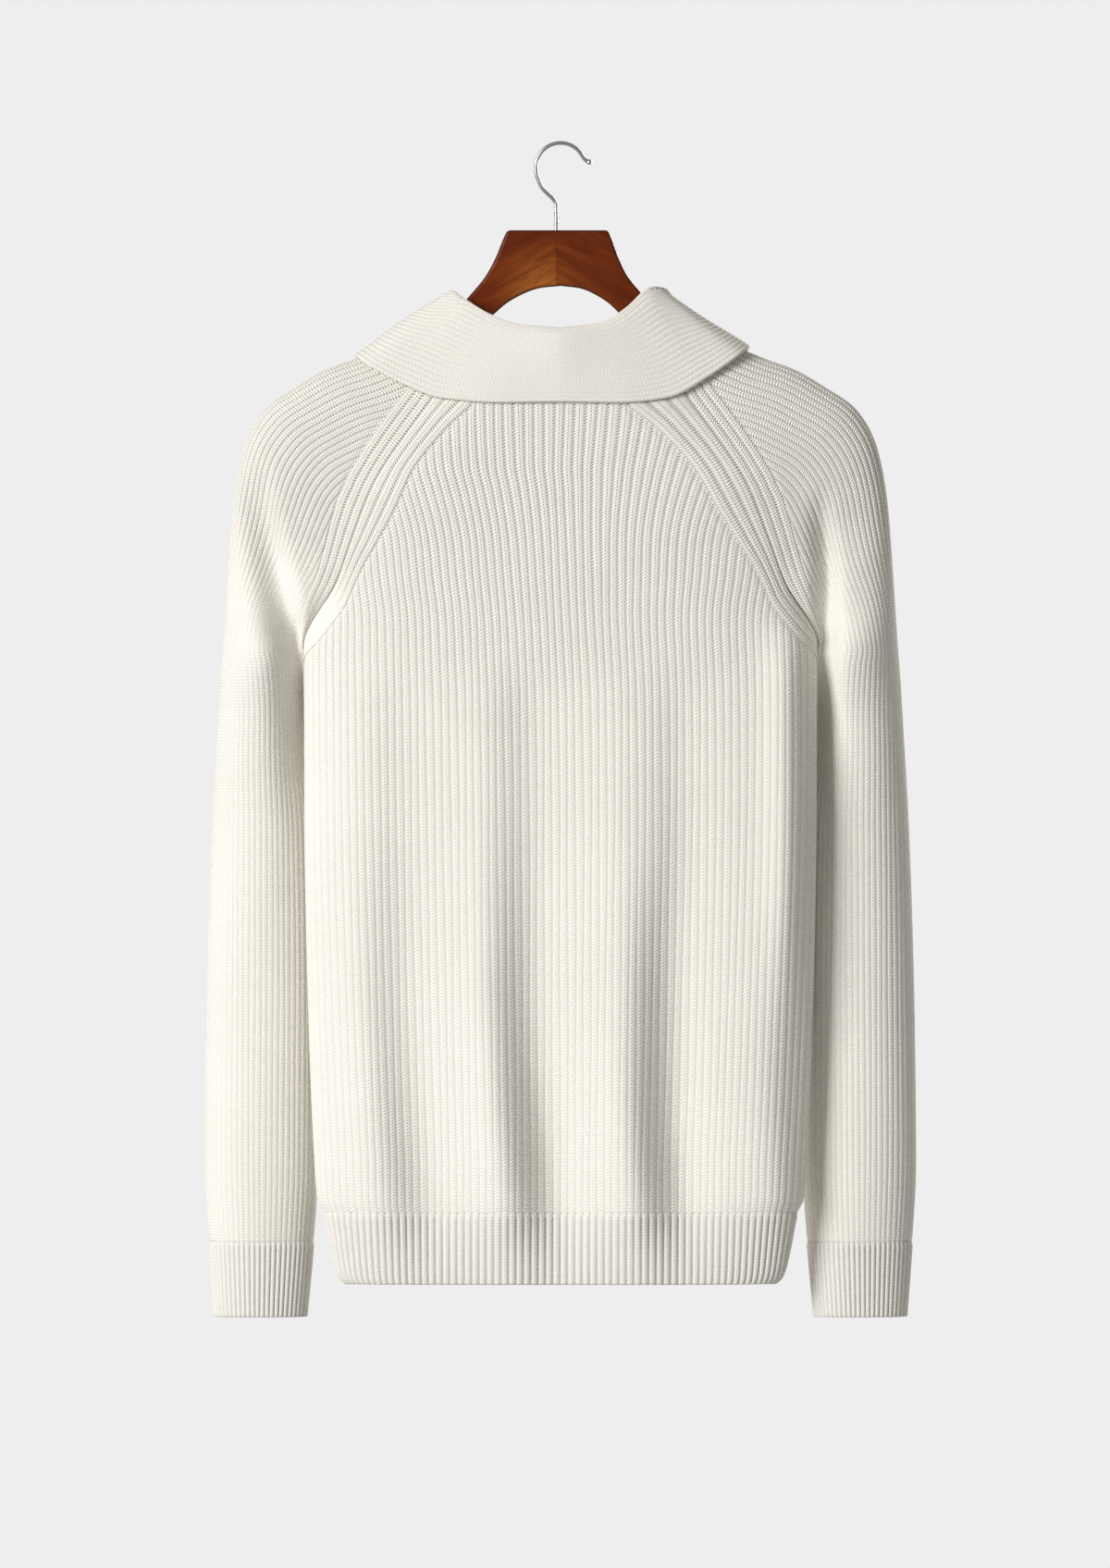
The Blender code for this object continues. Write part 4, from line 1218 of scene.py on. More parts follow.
@dataclass
class BodyPanel:
    """A front or back panel with its raglan bands."""

    name: str
    node: str
    form: BodyForm
    neck: NeckShape
    cut: Cut
    waist: float = -450.0       # above it the rows of points crowd toward the bands
    lower_rows: int = 95
    upper_rows: int = 75
    band_height: float = 12.0
    corner_ribs: float = 6.0    # ribs over which a band is cut to the neck's corner
    run_out: float = 7.0        # height over which the ribs run out at the bands
    open_heights: tuple[float, float] = (-520.0, -230.0)    # between which the knit opens
    full_heights: tuple[float, float] = (-420.0, -230.0)    # and the ribs rise to the full
    plus_calm: float = 0.9      # how smooth the bands are at the armpit on the +X side,
    minus_calm: float = 0.25    # and on the other
    calm_depths: tuple[float, float] = (325.0, 385.0)       # between which that sets in
    tuck_depths: tuple[float, float] = (330.0, 395.0)       # and the tuck runs out
    strays: tuple[Stray, ...] = (Stray(0.05, 37.0, 1.9), Stray(0.06, 113.0, 0.7))

    def border(self, rib: Array) -> Array:
        """The height at which a column of ribs ends.

        Args:
            rib: Columns, counted from the centre line.

        Returns:
            Their ends' heights.
        """
        neck = self.neck.value
        away = np.abs(rib)
        ribs = [point.rib for point in BODY_BORDER]
        heights = [point.height for point in BODY_BORDER]
        corner = np.interp(neck.corner_rib, ribs, heights)
        inside = blend(neck.centre, corner, (away / neck.corner_rib) ** neck.power)
        return np.where(away < neck.corner_rib, inside, np.interp(away, ribs, heights))

    def seam(self, rib: Array) -> Array:
        """The height of the raglan seam beside a column's end.

        Args:
            rib: Columns, counted from the centre line.

        Returns:
            The seam's heights.
        """
        neck = self.neck.value
        corner = self.border(np.array((neck.corner_rib,)))[0]
        share = np.clip((neck.corner_rib - np.abs(rib)) / self.corner_ribs + 1.0, 0.0, 1.0)
        return self.border(rib) + blend(self.band_height, neck.seam_top - corner, share)

    def openness(self, height: Array) -> Array:
        """How much the knit is stretched open, most at the shoulders."""
        return blend(0.25, 0.9, soft_step(height, *self.open_heights))

    def field(self, i: Array, j: Array) -> Patch:
        """The ribs between the bands.

        Args:
            i: Columns of the grid.
            j: Its rows.

        Returns:
            The points there.
        """
        rib = i / PER_RIB - BodyForm.RIBS
        top = self.border(rib)
        lower = blend(HEM_SEAM, self.waist, j / self.lower_rows)
        upper = blend(self.waist, top, (j - self.lower_rows) / self.upper_rows)
        height = np.where(j <= self.lower_rows, lower, upper)
        fade = soft_step(top - height, 0.0, self.run_out) * seam_start(height - HEM_SEAM)
        depth = blend(HANGING_RELIEF, 1.0, soft_step(height, *self.full_heights))
        relief = rib_relief(rib, RIB_RISE, RIB_SINK, fade * depth)
        across = strayed(rib, height, BodyForm.RIBS, self.strays, fade)
        points = self.form.lifted(across, height, relief)
        return Patch(points, rib, height / STITCH, self.openness(height))

    def band(self, first: int, columns: int, side: float) -> Callable[[Array, Array], Patch]:
        """The ribs along one raglan seam.

        Args:
            first: The first column of body ribs that ends on the band.
            columns: How many columns there are.
            side: 1 for the +X side, -1 for the other.

        Returns:
            What gives the band's points at grid places.
        """
        starts = side * (first + np.arange(columns + 1)) / PER_RIB
        courses = lengths_along(self.form.place(starts, self.border(starts))) / STITCH
        most_calm = self.plus_calm if side > 0.0 else self.minus_calm

        def patch(i: Array, j: Array) -> Patch:
            """The band's points at grid places (i, j).

            Args:
                i: Columns of the grid.
                j: Its rows.

            Returns:
                The points there.
            """
            rib = side * (first + i) / PER_RIB
            share = j / (BAND_RIBS * PER_RIB)
            low, high = self.border(rib), self.seam(rib)
            across = blend(np.abs(rib), self.form.table.at("ribs", high), share)
            calm = most_calm * soft_step(-low, *self.calm_depths)
            tuck = 1.0 - soft_step(-low, *self.tuck_depths)
            tuck = tuck * soft_step(share, TUCK_FROM, 1.0)
            relief = band_relief(share, tuck, calm)
            points = self.form.lifted(side * across, blend(low, high, share), relief)
            return Patch(points, share * BAND_RIBS, courses[i.astype(int)],
                         1.0 - CALM_CLOSES * calm)

        return patch

    def build(self, material: bpy.types.Material) -> bpy.types.Object:
        """Make the panel.

        Args:
            material: Its finish.

        Returns:
            The object.
        """
        piece = KnitPiece(self.name)
        ribs = round(BodyForm.RIBS)
        piece.lay(2 * ribs * PER_RIB, self.lower_rows + self.upper_rows, self.field)
        first = math.ceil(PER_RIB * self.neck.value.corner_rib)
        columns = ribs * PER_RIB - first
        for side in (-1.0, 1.0):
            piece.lay(columns, BAND_RIBS * PER_RIB, self.band(first, columns, side))
        piece.close_up((0.0, self.form.outward, 0.0), reach=0.05)
        obj = piece.finish(material)
        dress(obj, self.node)
        return obj


class SleeveForm:
    """The surface of a sleeve, as it lies on the +X side."""

    RIBS = 26.0
    ARMPIT = 463.0          # how far up the sleeve the armpit lies
    BAND_RUN = 14.0         # how far below the armpit the sleeve's own ribs end,
    BAND_EASE = 4.0         # and ribs over which a band widens to that
    REACH = 0.42            # where a slice clings: share of the way up of its lower handle,
    SWELL = 5.0             # how far that handle stands out,
    FLATTEN = 0.35          # and share by which its upper handle stands out less
    SOFTEN = 15             # slices over which the sleeve's form is smoothed along
    SLICES = 360
    POINTS = 65             # of half a slice
    TOP_FADE = 0.3          # shares of a half slice over which the trough
    SEAM_FADE = 0.16        # fades at the top line and at the seam
    BEND = 1.6              # depth of the slow waves in the lower sleeve,
    BEND_WAVE = 71.0        # and one radian of them
    BEND_TURN = 0.8
    BEND_PLACES = (-430.0, -330.0)

    def __init__(self, back: BodyForm, front: BodyForm, crease: Crease) -> None:
        """Sample the sleeve's slices, which end on the body's raglan seams.

        Args:
            back: The back panel's form.
            front: The front panel's form.
            crease: The crease at the armpit.
        """
        self.crease = crease
        self.table = Table(SLEEVE_SECTIONS, "along")
        self.halves = {True: self.half(back), False: self.half(front)}
        cap = [row for row in reversed(SLEEVE_SECTIONS) if row.along >= self.ARMPIT]
        self.border_ribs = [*(row.field_ribs for row in cap), self.RIBS]
        self.border_places = [*(row.along for row in cap), self.ARMPIT - self.BAND_RUN]

    def columns(self, alongs: Array, *names: str) -> Array:
        """Columns of the table, ready to multiply points or to be points."""
        return np.stack([self.table.at(name, alongs) for name in names], axis=1)

    def arched(self, body: BodyForm, alongs: Array, t: Array) -> Array:
        """Half slices, each arched from the top line to the underarm or raglan seam.

        Args:
            body: The side of the body on which they end.
            alongs: How far up the sleeve they lie.
            t: The points' places across, from 0 to 1.

        Returns:
            Points as [slice, point, axis].
        """
        top = self.columns(alongs, "top_x", "top_y", "top_height")
        under = self.columns(alongs, "under_x", "under_y", "top_height")
        seam_height = self.table.at("back_seam" if body.back else "front_seam", alongs)
        on_body = body.place(np.full_like(alongs, BodyForm.RIBS), seam_height)
        seam = np.where((alongs >= self.ARMPIT)[:, None], on_body, under)
        cling = self.columns(alongs, "cling")
        rise = 4.0 / 3.0 * self.columns(alongs, "depth") * np.array((0.0, body.outward, 0.0))
        swell = np.array((0.0, body.outward * self.SWELL, 0.0))
        low = seam + blend(rise, (top - seam) * self.REACH + swell, cling)
        high = top + rise * (1.0 - self.FLATTEN * cling)
        return (top[:, None] * (1 - t) ** 3 + 3 * high[:, None] * t * (1 - t) ** 2
                + 3 * low[:, None] * t * t * (1 - t) + seam[:, None] * t ** 3)

    def trough(self, points: Array, alongs: Array, t: Array) -> Array:
        """How far the crease presses each point in.

        Args:
            points: The slices' points.
            alongs: How far up the sleeve the slices lie.
            t: The points' places across, from 0 to 1.

        Returns:
            How far, as [slice, point].
        """
        line = np.array(self.crease.line)
        across = points[:, :, 0] - smooth_curve(line[:, 0], line[:, 1], points[:, :, 2])
        width = np.where(across > 0.0, self.crease.outer_width, self.crease.inner_width)
        push = self.columns(alongs, "crease") * np.exp(-(across / width) ** 2)
        t = t[:, :, 0]
        return push * soft_step(t, 0.0, self.TOP_FADE) * soft_step(1.0 - t, 0.0, self.SEAM_FADE)

    def softened(self, points: Array, t: Array) -> Array:
        """Smooth the slices along the sleeve, but not at the seams.

        Args:
            points: The slices' points.
            t: Their places across, from 0 to 1.

        Returns:
            The smoothed points.
        """
        kernel = np.hanning(self.SOFTEN)
        kernel /= kernel.sum()
        wide = np.pad(points, ((self.SOFTEN // 2,) * 2, (0, 0), (0, 0)), mode="reflect",
                      reflect_type="odd")
        soft = np.apply_along_axis(np.convolve, 0, wide, kernel, mode="valid")
        return blend(soft, points, t ** 6)

    def half(self, body: BodyForm) -> Form:
        """Sample the back or front half.

        Args:
            body: The side of the body on which it ends.

        Returns:
            The half's surface.
        """
        alongs = np.linspace(self.table.knots[0], self.table.knots[-1], self.SLICES)
        t = np.linspace(0.0, 1.0, self.POINTS)[None, :, None]
        points = self.arched(body, alongs, t)
        points[:, :, 1] -= body.outward * self.trough(points, alongs, t)
        bend = self.BEND * np.sin(alongs / self.BEND_WAVE + self.BEND_TURN)[:, None]
        bend = bend * np.sin(np.pi * t[:, :, 0])
        points[:, :, 1] += bend * soft_step(-alongs, *self.BEND_PLACES)[:, None]
        return Form(alongs[0], alongs[-1], even_out(self.softened(points, t), self.POINTS))

    def place(self, rib: Array, along: Array) -> Array:
        """The sleeve's points; ribs count back (+) and front (-) from the top line.

        Args:
            rib: Places across.
            along: How far up the sleeve they are.

        Returns:
            Points as [place, axis].
        """
        share = np.abs(rib) / self.table.at("ribs", along)
        back = self.halves[True].at(along, share)
        front = self.halves[False].at(along, share)
        return np.where((rib >= 0.0)[:, None], back, front)

    def lifted(self, rib: Array, along: Array, relief: Array) -> Array:
        """The sleeve's points lifted off its surface."""
        return raised(self.place, rib, along, relief, SLOPE_REACH, 1.0)

    def border(self, rib: Array) -> Array:
        """How far up the sleeve a column of ribs ends."""
        return np.interp(np.abs(rib), self.border_ribs, self.border_places)

    def seam(self, rib: Array) -> Array:
        """How far up the sleeve the seam point beside a column's end lies."""
        share = np.clip(1.0 - (self.RIBS - np.abs(rib)) / self.BAND_EASE, 0.0, 1.0)
        return self.border(rib) + self.BAND_RUN * share


@dataclass
class Sleeve:
    """A raglan sleeve with its bands."""

    name: str
    node: str
    side: float
    form: SleeveForm
    cut: Cut
    elbow: float = 425.0        # above it the rows of points crowd toward the bands
    lower_rows: int = 106
    upper_rows: int = 84
    neck_rib: float = 3.0       # the ribs up to this one reach the neck
    run_out: float = 7.0        # length over which the others run out at the bands
    calm_place: float = 495.0   # how far up the sleeve it bulges beside the armpit,
    calm_reach: float = 48.0    # and how long that bulge is
    calm_ribs: tuple[float, float] = (7.0, 15.0)    # between which it sets in
    open_places: tuple[float, float] = (490.0, 620.0)       # between which the knit opens,
    full_places: tuple[float, float] = (480.0, 600.0)       # the ribs rise to the full
    tuck_places: tuple[float, float] = (470.0, 570.0)       # and the tuck sets in
    strays: tuple[Stray, ...] = (Stray(0.05, 33.0, 1.7), Stray(0.05, 97.0, 0.8))

    def calm(self, rib: Array, along: Array) -> Array:
        """How smooth the cloth is, where it bulges beside the armpit."""
        near = np.exp(-((along - self.calm_place) / self.calm_reach) ** 2)
        return self.form.crease.smooth * near * soft_step(np.abs(rib), *self.calm_ribs)

    def openness(self, rib: Array, along: Array) -> Array:
        """How much the knit is stretched open, most at the shoulder."""
        opened = blend(0.2, 1.0, soft_step(along, *self.open_places))
        return blend(opened, -0.4, self.calm(rib, along))

    def field(self, i: Array, j: Array) -> Patch:
        """The ribs that run up the sleeve.

        Args:
            i: Columns of the grid.
            j: Its rows.

        Returns:
            The points there.
        """
        rib = i / PER_RIB - SleeveForm.RIBS
        end = self.form.border(rib)
        upper = blend(self.elbow, end, (j - self.lower_rows) / self.upper_rows)
        along = np.where(j <= self.lower_rows, self.elbow * j / self.lower_rows, upper)
        run = soft_step(end - along, 0.0, self.run_out)
        fade = np.where(np.abs(rib) < self.neck_rib, 1.0, run) * seam_start(along)
        fade = fade * (1.0 - self.calm(rib, along))
        fade = fade * blend(HANGING_RELIEF, 1.0, soft_step(along, *self.full_places))
        relief = rib_relief(rib, RIB_RISE, RIB_SINK, fade)
        across = strayed(rib, along, SleeveForm.RIBS, self.strays, fade)
        points = mirrored(self.form.lifted(across, along, relief), self.side)
        return Patch(points, rib, along / STITCH, self.openness(rib, along))

    def band(self, first: int, columns: int, half: float) -> Callable[[Array, Array], Patch]:
        """The ribs along one raglan seam.

        Args:
            first: The first column of sleeve ribs that ends on the band.
            columns: How many columns there are.
            half: 1 for the back's seam, -1 for the front's.

        Returns:
            What gives the band's points at grid places.
        """
        starts = half * (first + np.arange(columns + 1)) / PER_RIB
        courses = lengths_along(self.form.place(starts, self.form.border(starts))) / STITCH

        def patch(i: Array, j: Array) -> Patch:
            """The band's points at grid places (i, j).

            Args:
                i: Columns of the grid.
                j: Its rows.

            Returns:
                The points there.
            """
            rib = half * (first + i) / PER_RIB
            share = j / (BAND_RIBS * PER_RIB)
            low, high = self.form.border(rib), self.form.seam(rib)
            along = blend(low, high, share)
            across = blend(np.abs(rib), self.form.table.at("ribs", high), share)
            calm = self.calm(rib, along)
            tuck = soft_step(share, TUCK_FROM, 1.0) * soft_step(along, *self.tuck_places)
            relief = band_relief(share, tuck, calm)
            points = mirrored(self.form.lifted(half * across, along, relief), self.side)
            return Patch(points, share * BAND_RIBS, courses[i.astype(int)],
                         1.0 - CALM_CLOSES * calm)

        return patch

    def build(self, material: bpy.types.Material) -> bpy.types.Object:
        """Make the sleeve.

        Args:
            material: Its finish.

        Returns:
            The object.
        """
        piece = KnitPiece(self.name)
        ribs = round(SleeveForm.RIBS)
        piece.lay(2 * ribs * PER_RIB, self.lower_rows + self.upper_rows, self.field)
        first = round(PER_RIB * self.neck_rib)
        columns = ribs * PER_RIB - first
        for half in (-1.0, 1.0):
            piece.lay(columns, BAND_RIBS * PER_RIB, self.band(first, columns, half))
        piece.close_up((self.side, 0.0, 0.0))
        obj = piece.finish(material)
        dress(obj, self.node)
        return obj


@dataclass(frozen=True)
class Edging:
    """The rows of an open rib band: down its outside, round its end and up its inside."""

    length: float
    outside_rows: int
    roll_rows: int = 5
    inside_rows: int = 6
    rise: float = 0.8
    sink: float = 0.7
    begin: float = 0.3      # share of their height that the ribs have at the seam
    begin_rows: float = 2.0
    fade: float = 1.4       # how soon they run out on the rolled end

    @property
    def rows(self) -> int:
        """How many faces there are along it, with the one that closes it at the seam."""
        return self.outside_rows + self.roll_rows + self.inside_rows + 1

    def level(self, j: Array) -> tuple[Array, Array]:
        """Where a row lies.

        Args:
            j: The row.

        Returns:
            How far down from the seam it is, and how far in from the outside.
        """
        straight = self.length - WALL / 2.0
        turn = np.pi * np.clip((j - self.outside_rows) / self.roll_rows, 0.0, 1.0)
        back_up = np.clip((j - self.outside_rows - self.roll_rows) / self.inside_rows, 0.0, 1.0)
        down = np.clip(j / self.outside_rows, 0.0, 1.0) * straight
        down = down + WALL / 2.0 * np.sin(turn) - back_up * straight
        return down, np.where(j < self.rows, WALL / 2.0 * (1.0 - np.cos(turn)), 0.0)

    def relief(self, rib: Array, j: Array) -> Array:
        """Relief over the band's outside surface.

        Args:
            rib: Places across, counted in ribs.
            j: Rows of the grid.

        Returns:
            How far each place is lifted.
        """
        _, inset = self.level(j)
        row = np.where(j < self.rows, j, 0.0)
        start = blend(self.begin, 1.0, soft_step(row, 0.0, self.begin_rows))
        ribs = rib_relief(rib, self.rise, self.sink, start)
        return ribs * (1.0 - self.fade * inset / WALL) - inset


@dataclass
class HemBand:
    """The hem's rib band, all round the body."""

    back: BodyForm
    front: BodyForm
    cut: Cut
    edging: Edging = Edging(56.2, 26)
    openness: float = 0.15

    def half(self, form: BodyForm) -> Callable[[Array, Array], Patch]:
        """What gives the points of the back or front half.

        Args:
            form: The half of the body that it hangs on.

        Returns:
            What gives its points at grid places.
        """
        def patch(i: Array, j: Array) -> Patch:
            """The half's points at grid places (i, j).

            Args:
                i: Columns of the grid.
                j: Its rows.

            Returns:
                The points there.
            """
            rib = i / PER_RIB - BodyForm.RIBS
            down, _ = self.edging.level(j)
            height = HEM_SEAM - down
            points = form.lifted(rib, height, self.edging.relief(rib, j))
            return Patch(points, rib, height / STITCH, np.full_like(rib, self.openness))

        return patch

    def build(self, material: bpy.types.Material) -> bpy.types.Object:
        """Make the band.

        Args:
            material: Its finish.

        Returns:
            The object.
        """
        piece = KnitPiece("hem_knit")
        for form in (self.back, self.front):
            piece.lay(round(2 * BodyForm.RIBS) * PER_RIB, self.edging.rows, self.half(form))
        piece.close_up((0.0, 1.0, 0.0), reach=0.6)
        obj = piece.finish(material)
        dress(obj, "hem_band")
        return obj


@dataclass
class Cuff:
    """A cuff's rib band."""

    name: str
    node: str
    side: float
    form: SleeveForm
    cut: Cut
    edging: Edging = Edging(59.5, 28)
    openness: float = 0.15

    def patch(self, i: Array, j: Array) -> Patch:
        """The band's points.

        Args:
            i: Columns of the grid.
            j: Its rows.

        Returns:
            The points there.
        """
        rib = i / PER_RIB - SleeveForm.RIBS
        down, _ = self.edging.level(j)
        points = mirrored(self.form.lifted(rib, -down, self.edging.relief(rib, j)), self.side)
        return Patch(points, rib, -down / STITCH, np.full_like(rib, self.openness))

    def build(self, material: bpy.types.Material) -> bpy.types.Object:
        """Make the cuff.

        Args:
            material: Its finish.

        Returns:
            The object.
        """
        piece = KnitPiece(self.name)
        piece.lay(round(2 * SleeveForm.RIBS) * PER_RIB, self.edging.rows, self.patch)
        piece.close_up((self.side, 0.0, 0.0), reach=0.6)
        obj = piece.finish(material)
        dress(obj, self.node)
        return obj


class CollarForm:
    """The shawl collar's surface: from the neck seam up, over the fold and down its leaf."""

    FOLD = 6.0          # half the width of the folded edge
    BEND = 6.6          # how far below the fold it is that wide,
    BEND_SHARE = 0.28   # or this share of a narrow stand
    SLICES = 261        # of half the collar
    POINTS = 121        # of a slice
    STEPS = 24          # of the curve between one corner of a slice and the next
    NARROWER = 0.08     # share by which the -X side's leaf is narrower,
    DRAWN_IN = 0.03     # and by how much more its fold is drawn in
    DROOP = 4.0         # how much lower the leaf hangs on the +X side,
    LIFT = 2.5          # and how much higher on the other
    LOWER_FOLD = 2.5    # how much lower the fold is at the +X side of the neck,
    HIGHER_FOLD = 5.5   # and how much higher at the other
    NECK_SIDE = 3.2     # the station at the side of the neck,
    NECK_REACH = 1.6    # and how many stations around it share its fold's height

    def __init__(self) -> None:
        """Sample the collar's slices from the centre back to the V."""
        self.last = float(len(COLLAR_SECTIONS) - 1)
        knots = np.arange(len(COLLAR_SECTIONS), dtype=float)
        stations = np.linspace(0.0, self.last, self.SLICES)
        corners = {}
        for name in CollarSection._fields:
            table = np.array([getattr(row, name) for row in COLLAR_SECTIONS])
            curves = [smooth_curve(knots, values, stations) for values in table.T]
            corners[name] = np.stack(curves, axis=1)
        arcs = np.array([self.arc(*spots) for spots in zip(*corners.values())])
        reached = np.array([lengths_along(arc) for arc in arcs])
        self.stations = stations
        self.fold_reach = reached[:, 2 * self.STEPS]
        self.width = reached[:, -1]
        self.form = Form(0.0, self.last, even_out(arcs, self.POINTS))

    def arc(self, seam: Array, fold: Array, edge: Array) -> Array:
        """The collar's path across.

        Args:
            seam: Where it is sewn on.
            fold: Its folded edge.
            edge: Its free edge.

        Returns:
            Points from the seam to the free edge.
        """
        down = (seam - fold) / np.linalg.norm(seam - fold)
        out = (edge - fold) / np.linalg.norm(edge - fold)
        side = (out - down) / np.linalg.norm(out - down)
        middle = (down + out) / np.linalg.norm(down + out)
        reach = min(self.BEND, self.BEND_SHARE * np.linalg.norm(seam - fold))
        near = fold + middle * reach - side * self.FOLD
        far = fold + middle * reach + side * self.FOLD
        return spline([seam, near, fold, far, edge], self.STEPS)

    def past_fold(self, share: Array, station: Array) -> Array:
        """How far past the folded edge, toward the free edge, a point lies.

        Args:
            share: Places across, from 0 to 1.
            station: Places round the neck.

        Returns:
            How far, in millimetres.
        """
        width = np.interp(np.abs(station), self.stations, self.width)
        return share * width - np.interp(np.abs(station), self.stations, self.fold_reach)

    def place(self, share: Array, station: Array) -> Array:
        """The collar's points; stations below 0 are on the -X side.

        Args:
            share: Places across, from 0 to 1.
            station: Places round the neck.

        Returns:
            Points as [place, axis].
        """
        far = np.abs(station)
        plus = station >= 0.0
        points = self.form.at(far, share)
        near_fold = soft_step(far, 1.5, 4.0) * (1.0 - soft_step(share, 0.3, 0.85))
        narrower = self.NARROWER + self.DRAWN_IN * near_fold
        narrower = narrower * soft_step(share, 0.0, 0.3) * (1.0 - soft_step(far, 6.0, 9.0))
        points[:, 0] *= np.where(plus, 1.0, narrower - 1.0)
        leaf = soft_step(share, 0.45, 1.0)
        leaf = leaf * soft_step(far, 1.6, 4.0) * (1.0 - soft_step(far, 5.6, 8.0))
        points[:, 2] += np.where(plus, -self.DROOP, self.LIFT) * leaf
        fold = soft_step(share, 0.0, 0.25) * (1.0 - soft_step(share, 0.35, 0.85))
        fold = fold * np.exp(-((far - self.NECK_SIDE) / self.NECK_REACH) ** 2)
        points[:, 2] += np.where(plus, -self.LOWER_FOLD, self.HIGHER_FOLD) * fold
        return points


@dataclass
class Collar:
    """The folded shawl collar, in finer, brushed ribs that run round the neck."""

    form: CollarForm
    cut: Cut
    ribs: int = 27
    rows: int = 224
    relief: float = 0.26
    brushed: float = 0.06       # relief at the back of the neck, where it is brushed flat
    tuck: float = 0.9           # how far its edges turn in
    grooves: tuple[tuple[float, float], ...] = ((4.0, 0.7), (6.4, 0.6))
    groove_depth: float = 0.5   # of the two lines past the fold: (how far past it, width)
    stitched_at: float = 0.7    # share across at which the rows of stitches are counted
    worn_stations: tuple[float, float] = (1.2, 3.4)     # between which the brushing ends
    slope_reach: tuple[float, float] = (0.004, 0.03)    # share and stations, for slopes

    def courses(self) -> Array:
        """Count the rows of stitches up to each row of points.

        Returns:
            The counts.
        """
        stations = np.linspace(-self.form.last, self.form.last, self.rows + 1)
        line = self.form.place(np.full_like(stations, self.stitched_at), stations)
        return lengths_along(line) / STITCH

    def patch(self, i: Array, j: Array) -> Patch:
        """The collar's points.

        Args:
            i: Columns of the grid, across the collar.
            j: Its rows, round the neck.

        Returns:
            The points there.
        """
        share = i / (self.ribs * PER_RIB)
        station = (2.0 * j / self.rows - 1.0) * self.form.last
        rib = share * self.ribs
        worn = soft_step(np.abs(station), *self.worn_stations)
        edge = soft_step(share, 0.84, 0.9)
        depth = blend(self.brushed, self.relief, np.maximum(worn, 0.7 * edge))
        relief = depth * (2.0 * np.abs(np.sin(np.pi * rib)) ** 0.75 - 1.0)
        ends = soft_step(share, 0.985, 1.0) + soft_step(-share, -0.015, 0.0)
        relief = relief - self.tuck * ends
        past = self.form.past_fold(share, station)
        for place, width in self.grooves:
            relief = relief - self.groove_depth * np.exp(-((past - place) / width) ** 2)
        points = raised(self.form.place, share, station, relief, self.slope_reach, -1.0)
        return Patch(points, rib, self.courses()[j.astype(int)], 0.15 + 0.3 * worn)

    def build(self, material: bpy.types.Material) -> bpy.types.Object:
        """Make the collar.

        Args:
            material: Its finish.

        Returns:
            The object.
        """
        piece = KnitPiece("collar_knit")
        piece.lay(self.ribs * PER_RIB, self.rows, self.patch)
        piece.close_up((0.0, 0.0, 1.0), reach=TOUCHING)
        obj = piece.finish(material)
        wall = obj.modifiers.new("wall", "SOLIDIFY")
        wall.thickness = WALL * MM
        wall.offset = -1.0
        dress(obj, "collar")
        return obj


def dress(obj: bpy.types.Object, node: str) -> None:
    """Put a piece on the frame in the place of a solid.

    Args:
        obj: The piece.
        node: The solid.
    """
    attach(obj, "root")
    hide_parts(node)
    log.info("%s: %d faces", obj.name, len(obj.data.polygons))


@dataclass
class Hanger:
    """The wooden body: flat-topped at the neck, with arms in the shoulders."""

    thickness: float = 12.0
    edge: float = 2.8               # how far its rims are rounded
    edge_steps: int = 5
    tip_steps: int = 10
    corner_points: int = 5          # of its top's outline, which are joined straight
    top_steps: int = 5
    underside_steps: int = 6
    narrowing: float = 0.105        # share by which the -X arm is shorter,
    most_narrowed: float = 6.0      # up to this

    def outline(self) -> list[Array]:
        """The outline seen from the front, round from the middle of its top.

        Returns:
            Its points in order.
        """
        flat = [np.array((point.x, 0.0, point.height)) for point in HANGER_TOP]
        top = [*flat[:self.corner_points], *spline(flat[self.corner_points:], self.top_steps)]
        below = [(point.x, 0.0, point.height) for point in HANGER_UNDERSIDE]
        under = spline(below, self.underside_steps)
        middle = (top[-1] + under[-1]) / 2.0
        up = top[-1] - middle
        out = np.array((up[2], 0.0, -up[0]))
        turns = np.linspace(math.pi / 2.0, -math.pi / 2.0, self.tip_steps + 1)[1:-1]
        round_end = [middle + up * math.sin(turn) + out * math.cos(turn) for turn in turns]
        half = [*top, *round_end, *reversed(under)]
        return [*half, *(self.narrowed(point) for point in reversed(half[1:-1]))]

    def narrowed(self, point: Array) -> Array:
        """A point of the +X half as it lies on the narrower -X half."""
        x, y, height = point
        return np.array((min(self.narrowing * x, self.most_narrowed) - x, y, height))

    def build(self, material: bpy.types.Material) -> bpy.types.Object:
        """Make the wooden body.

        Args:
            material: Its finish.

        Returns:
            The object.
        """
        mesh = bmesh.new()
        front = np.array((0.0, -self.thickness / 2.0, 0.0))
        face = mesh.faces.new([mesh.verts.new((point + front) * MM) for point in self.outline()])
        pushed = bmesh.ops.extrude_face_region(mesh, geom=[face])["geom"]
        moved = [item for item in pushed if isinstance(item, bmesh.types.BMVert)]
        bmesh.ops.translate(mesh, verts=moved, vec=(0.0, self.thickness * MM, 0.0))
        bmesh.ops.recalc_face_normals(mesh, faces=mesh.faces[:])
        rims = [edge for edge in mesh.edges if abs(edge.verts[0].co.y - edge.verts[1].co.y) < 1e-6]
        bmesh.ops.bevel(mesh, geom=rims, offset=self.edge * MM, segments=self.edge_steps,
                        affect="EDGES", profile=0.5, material=-1)
        for face in mesh.faces:
            face.smooth = True
        obj = make_object("hanger_wood", mesh, material)
        obj.modifiers.new("flat sides", "WEIGHTED_NORMAL").keep_sharp = True
        dress(obj, "hanger")
        return obj


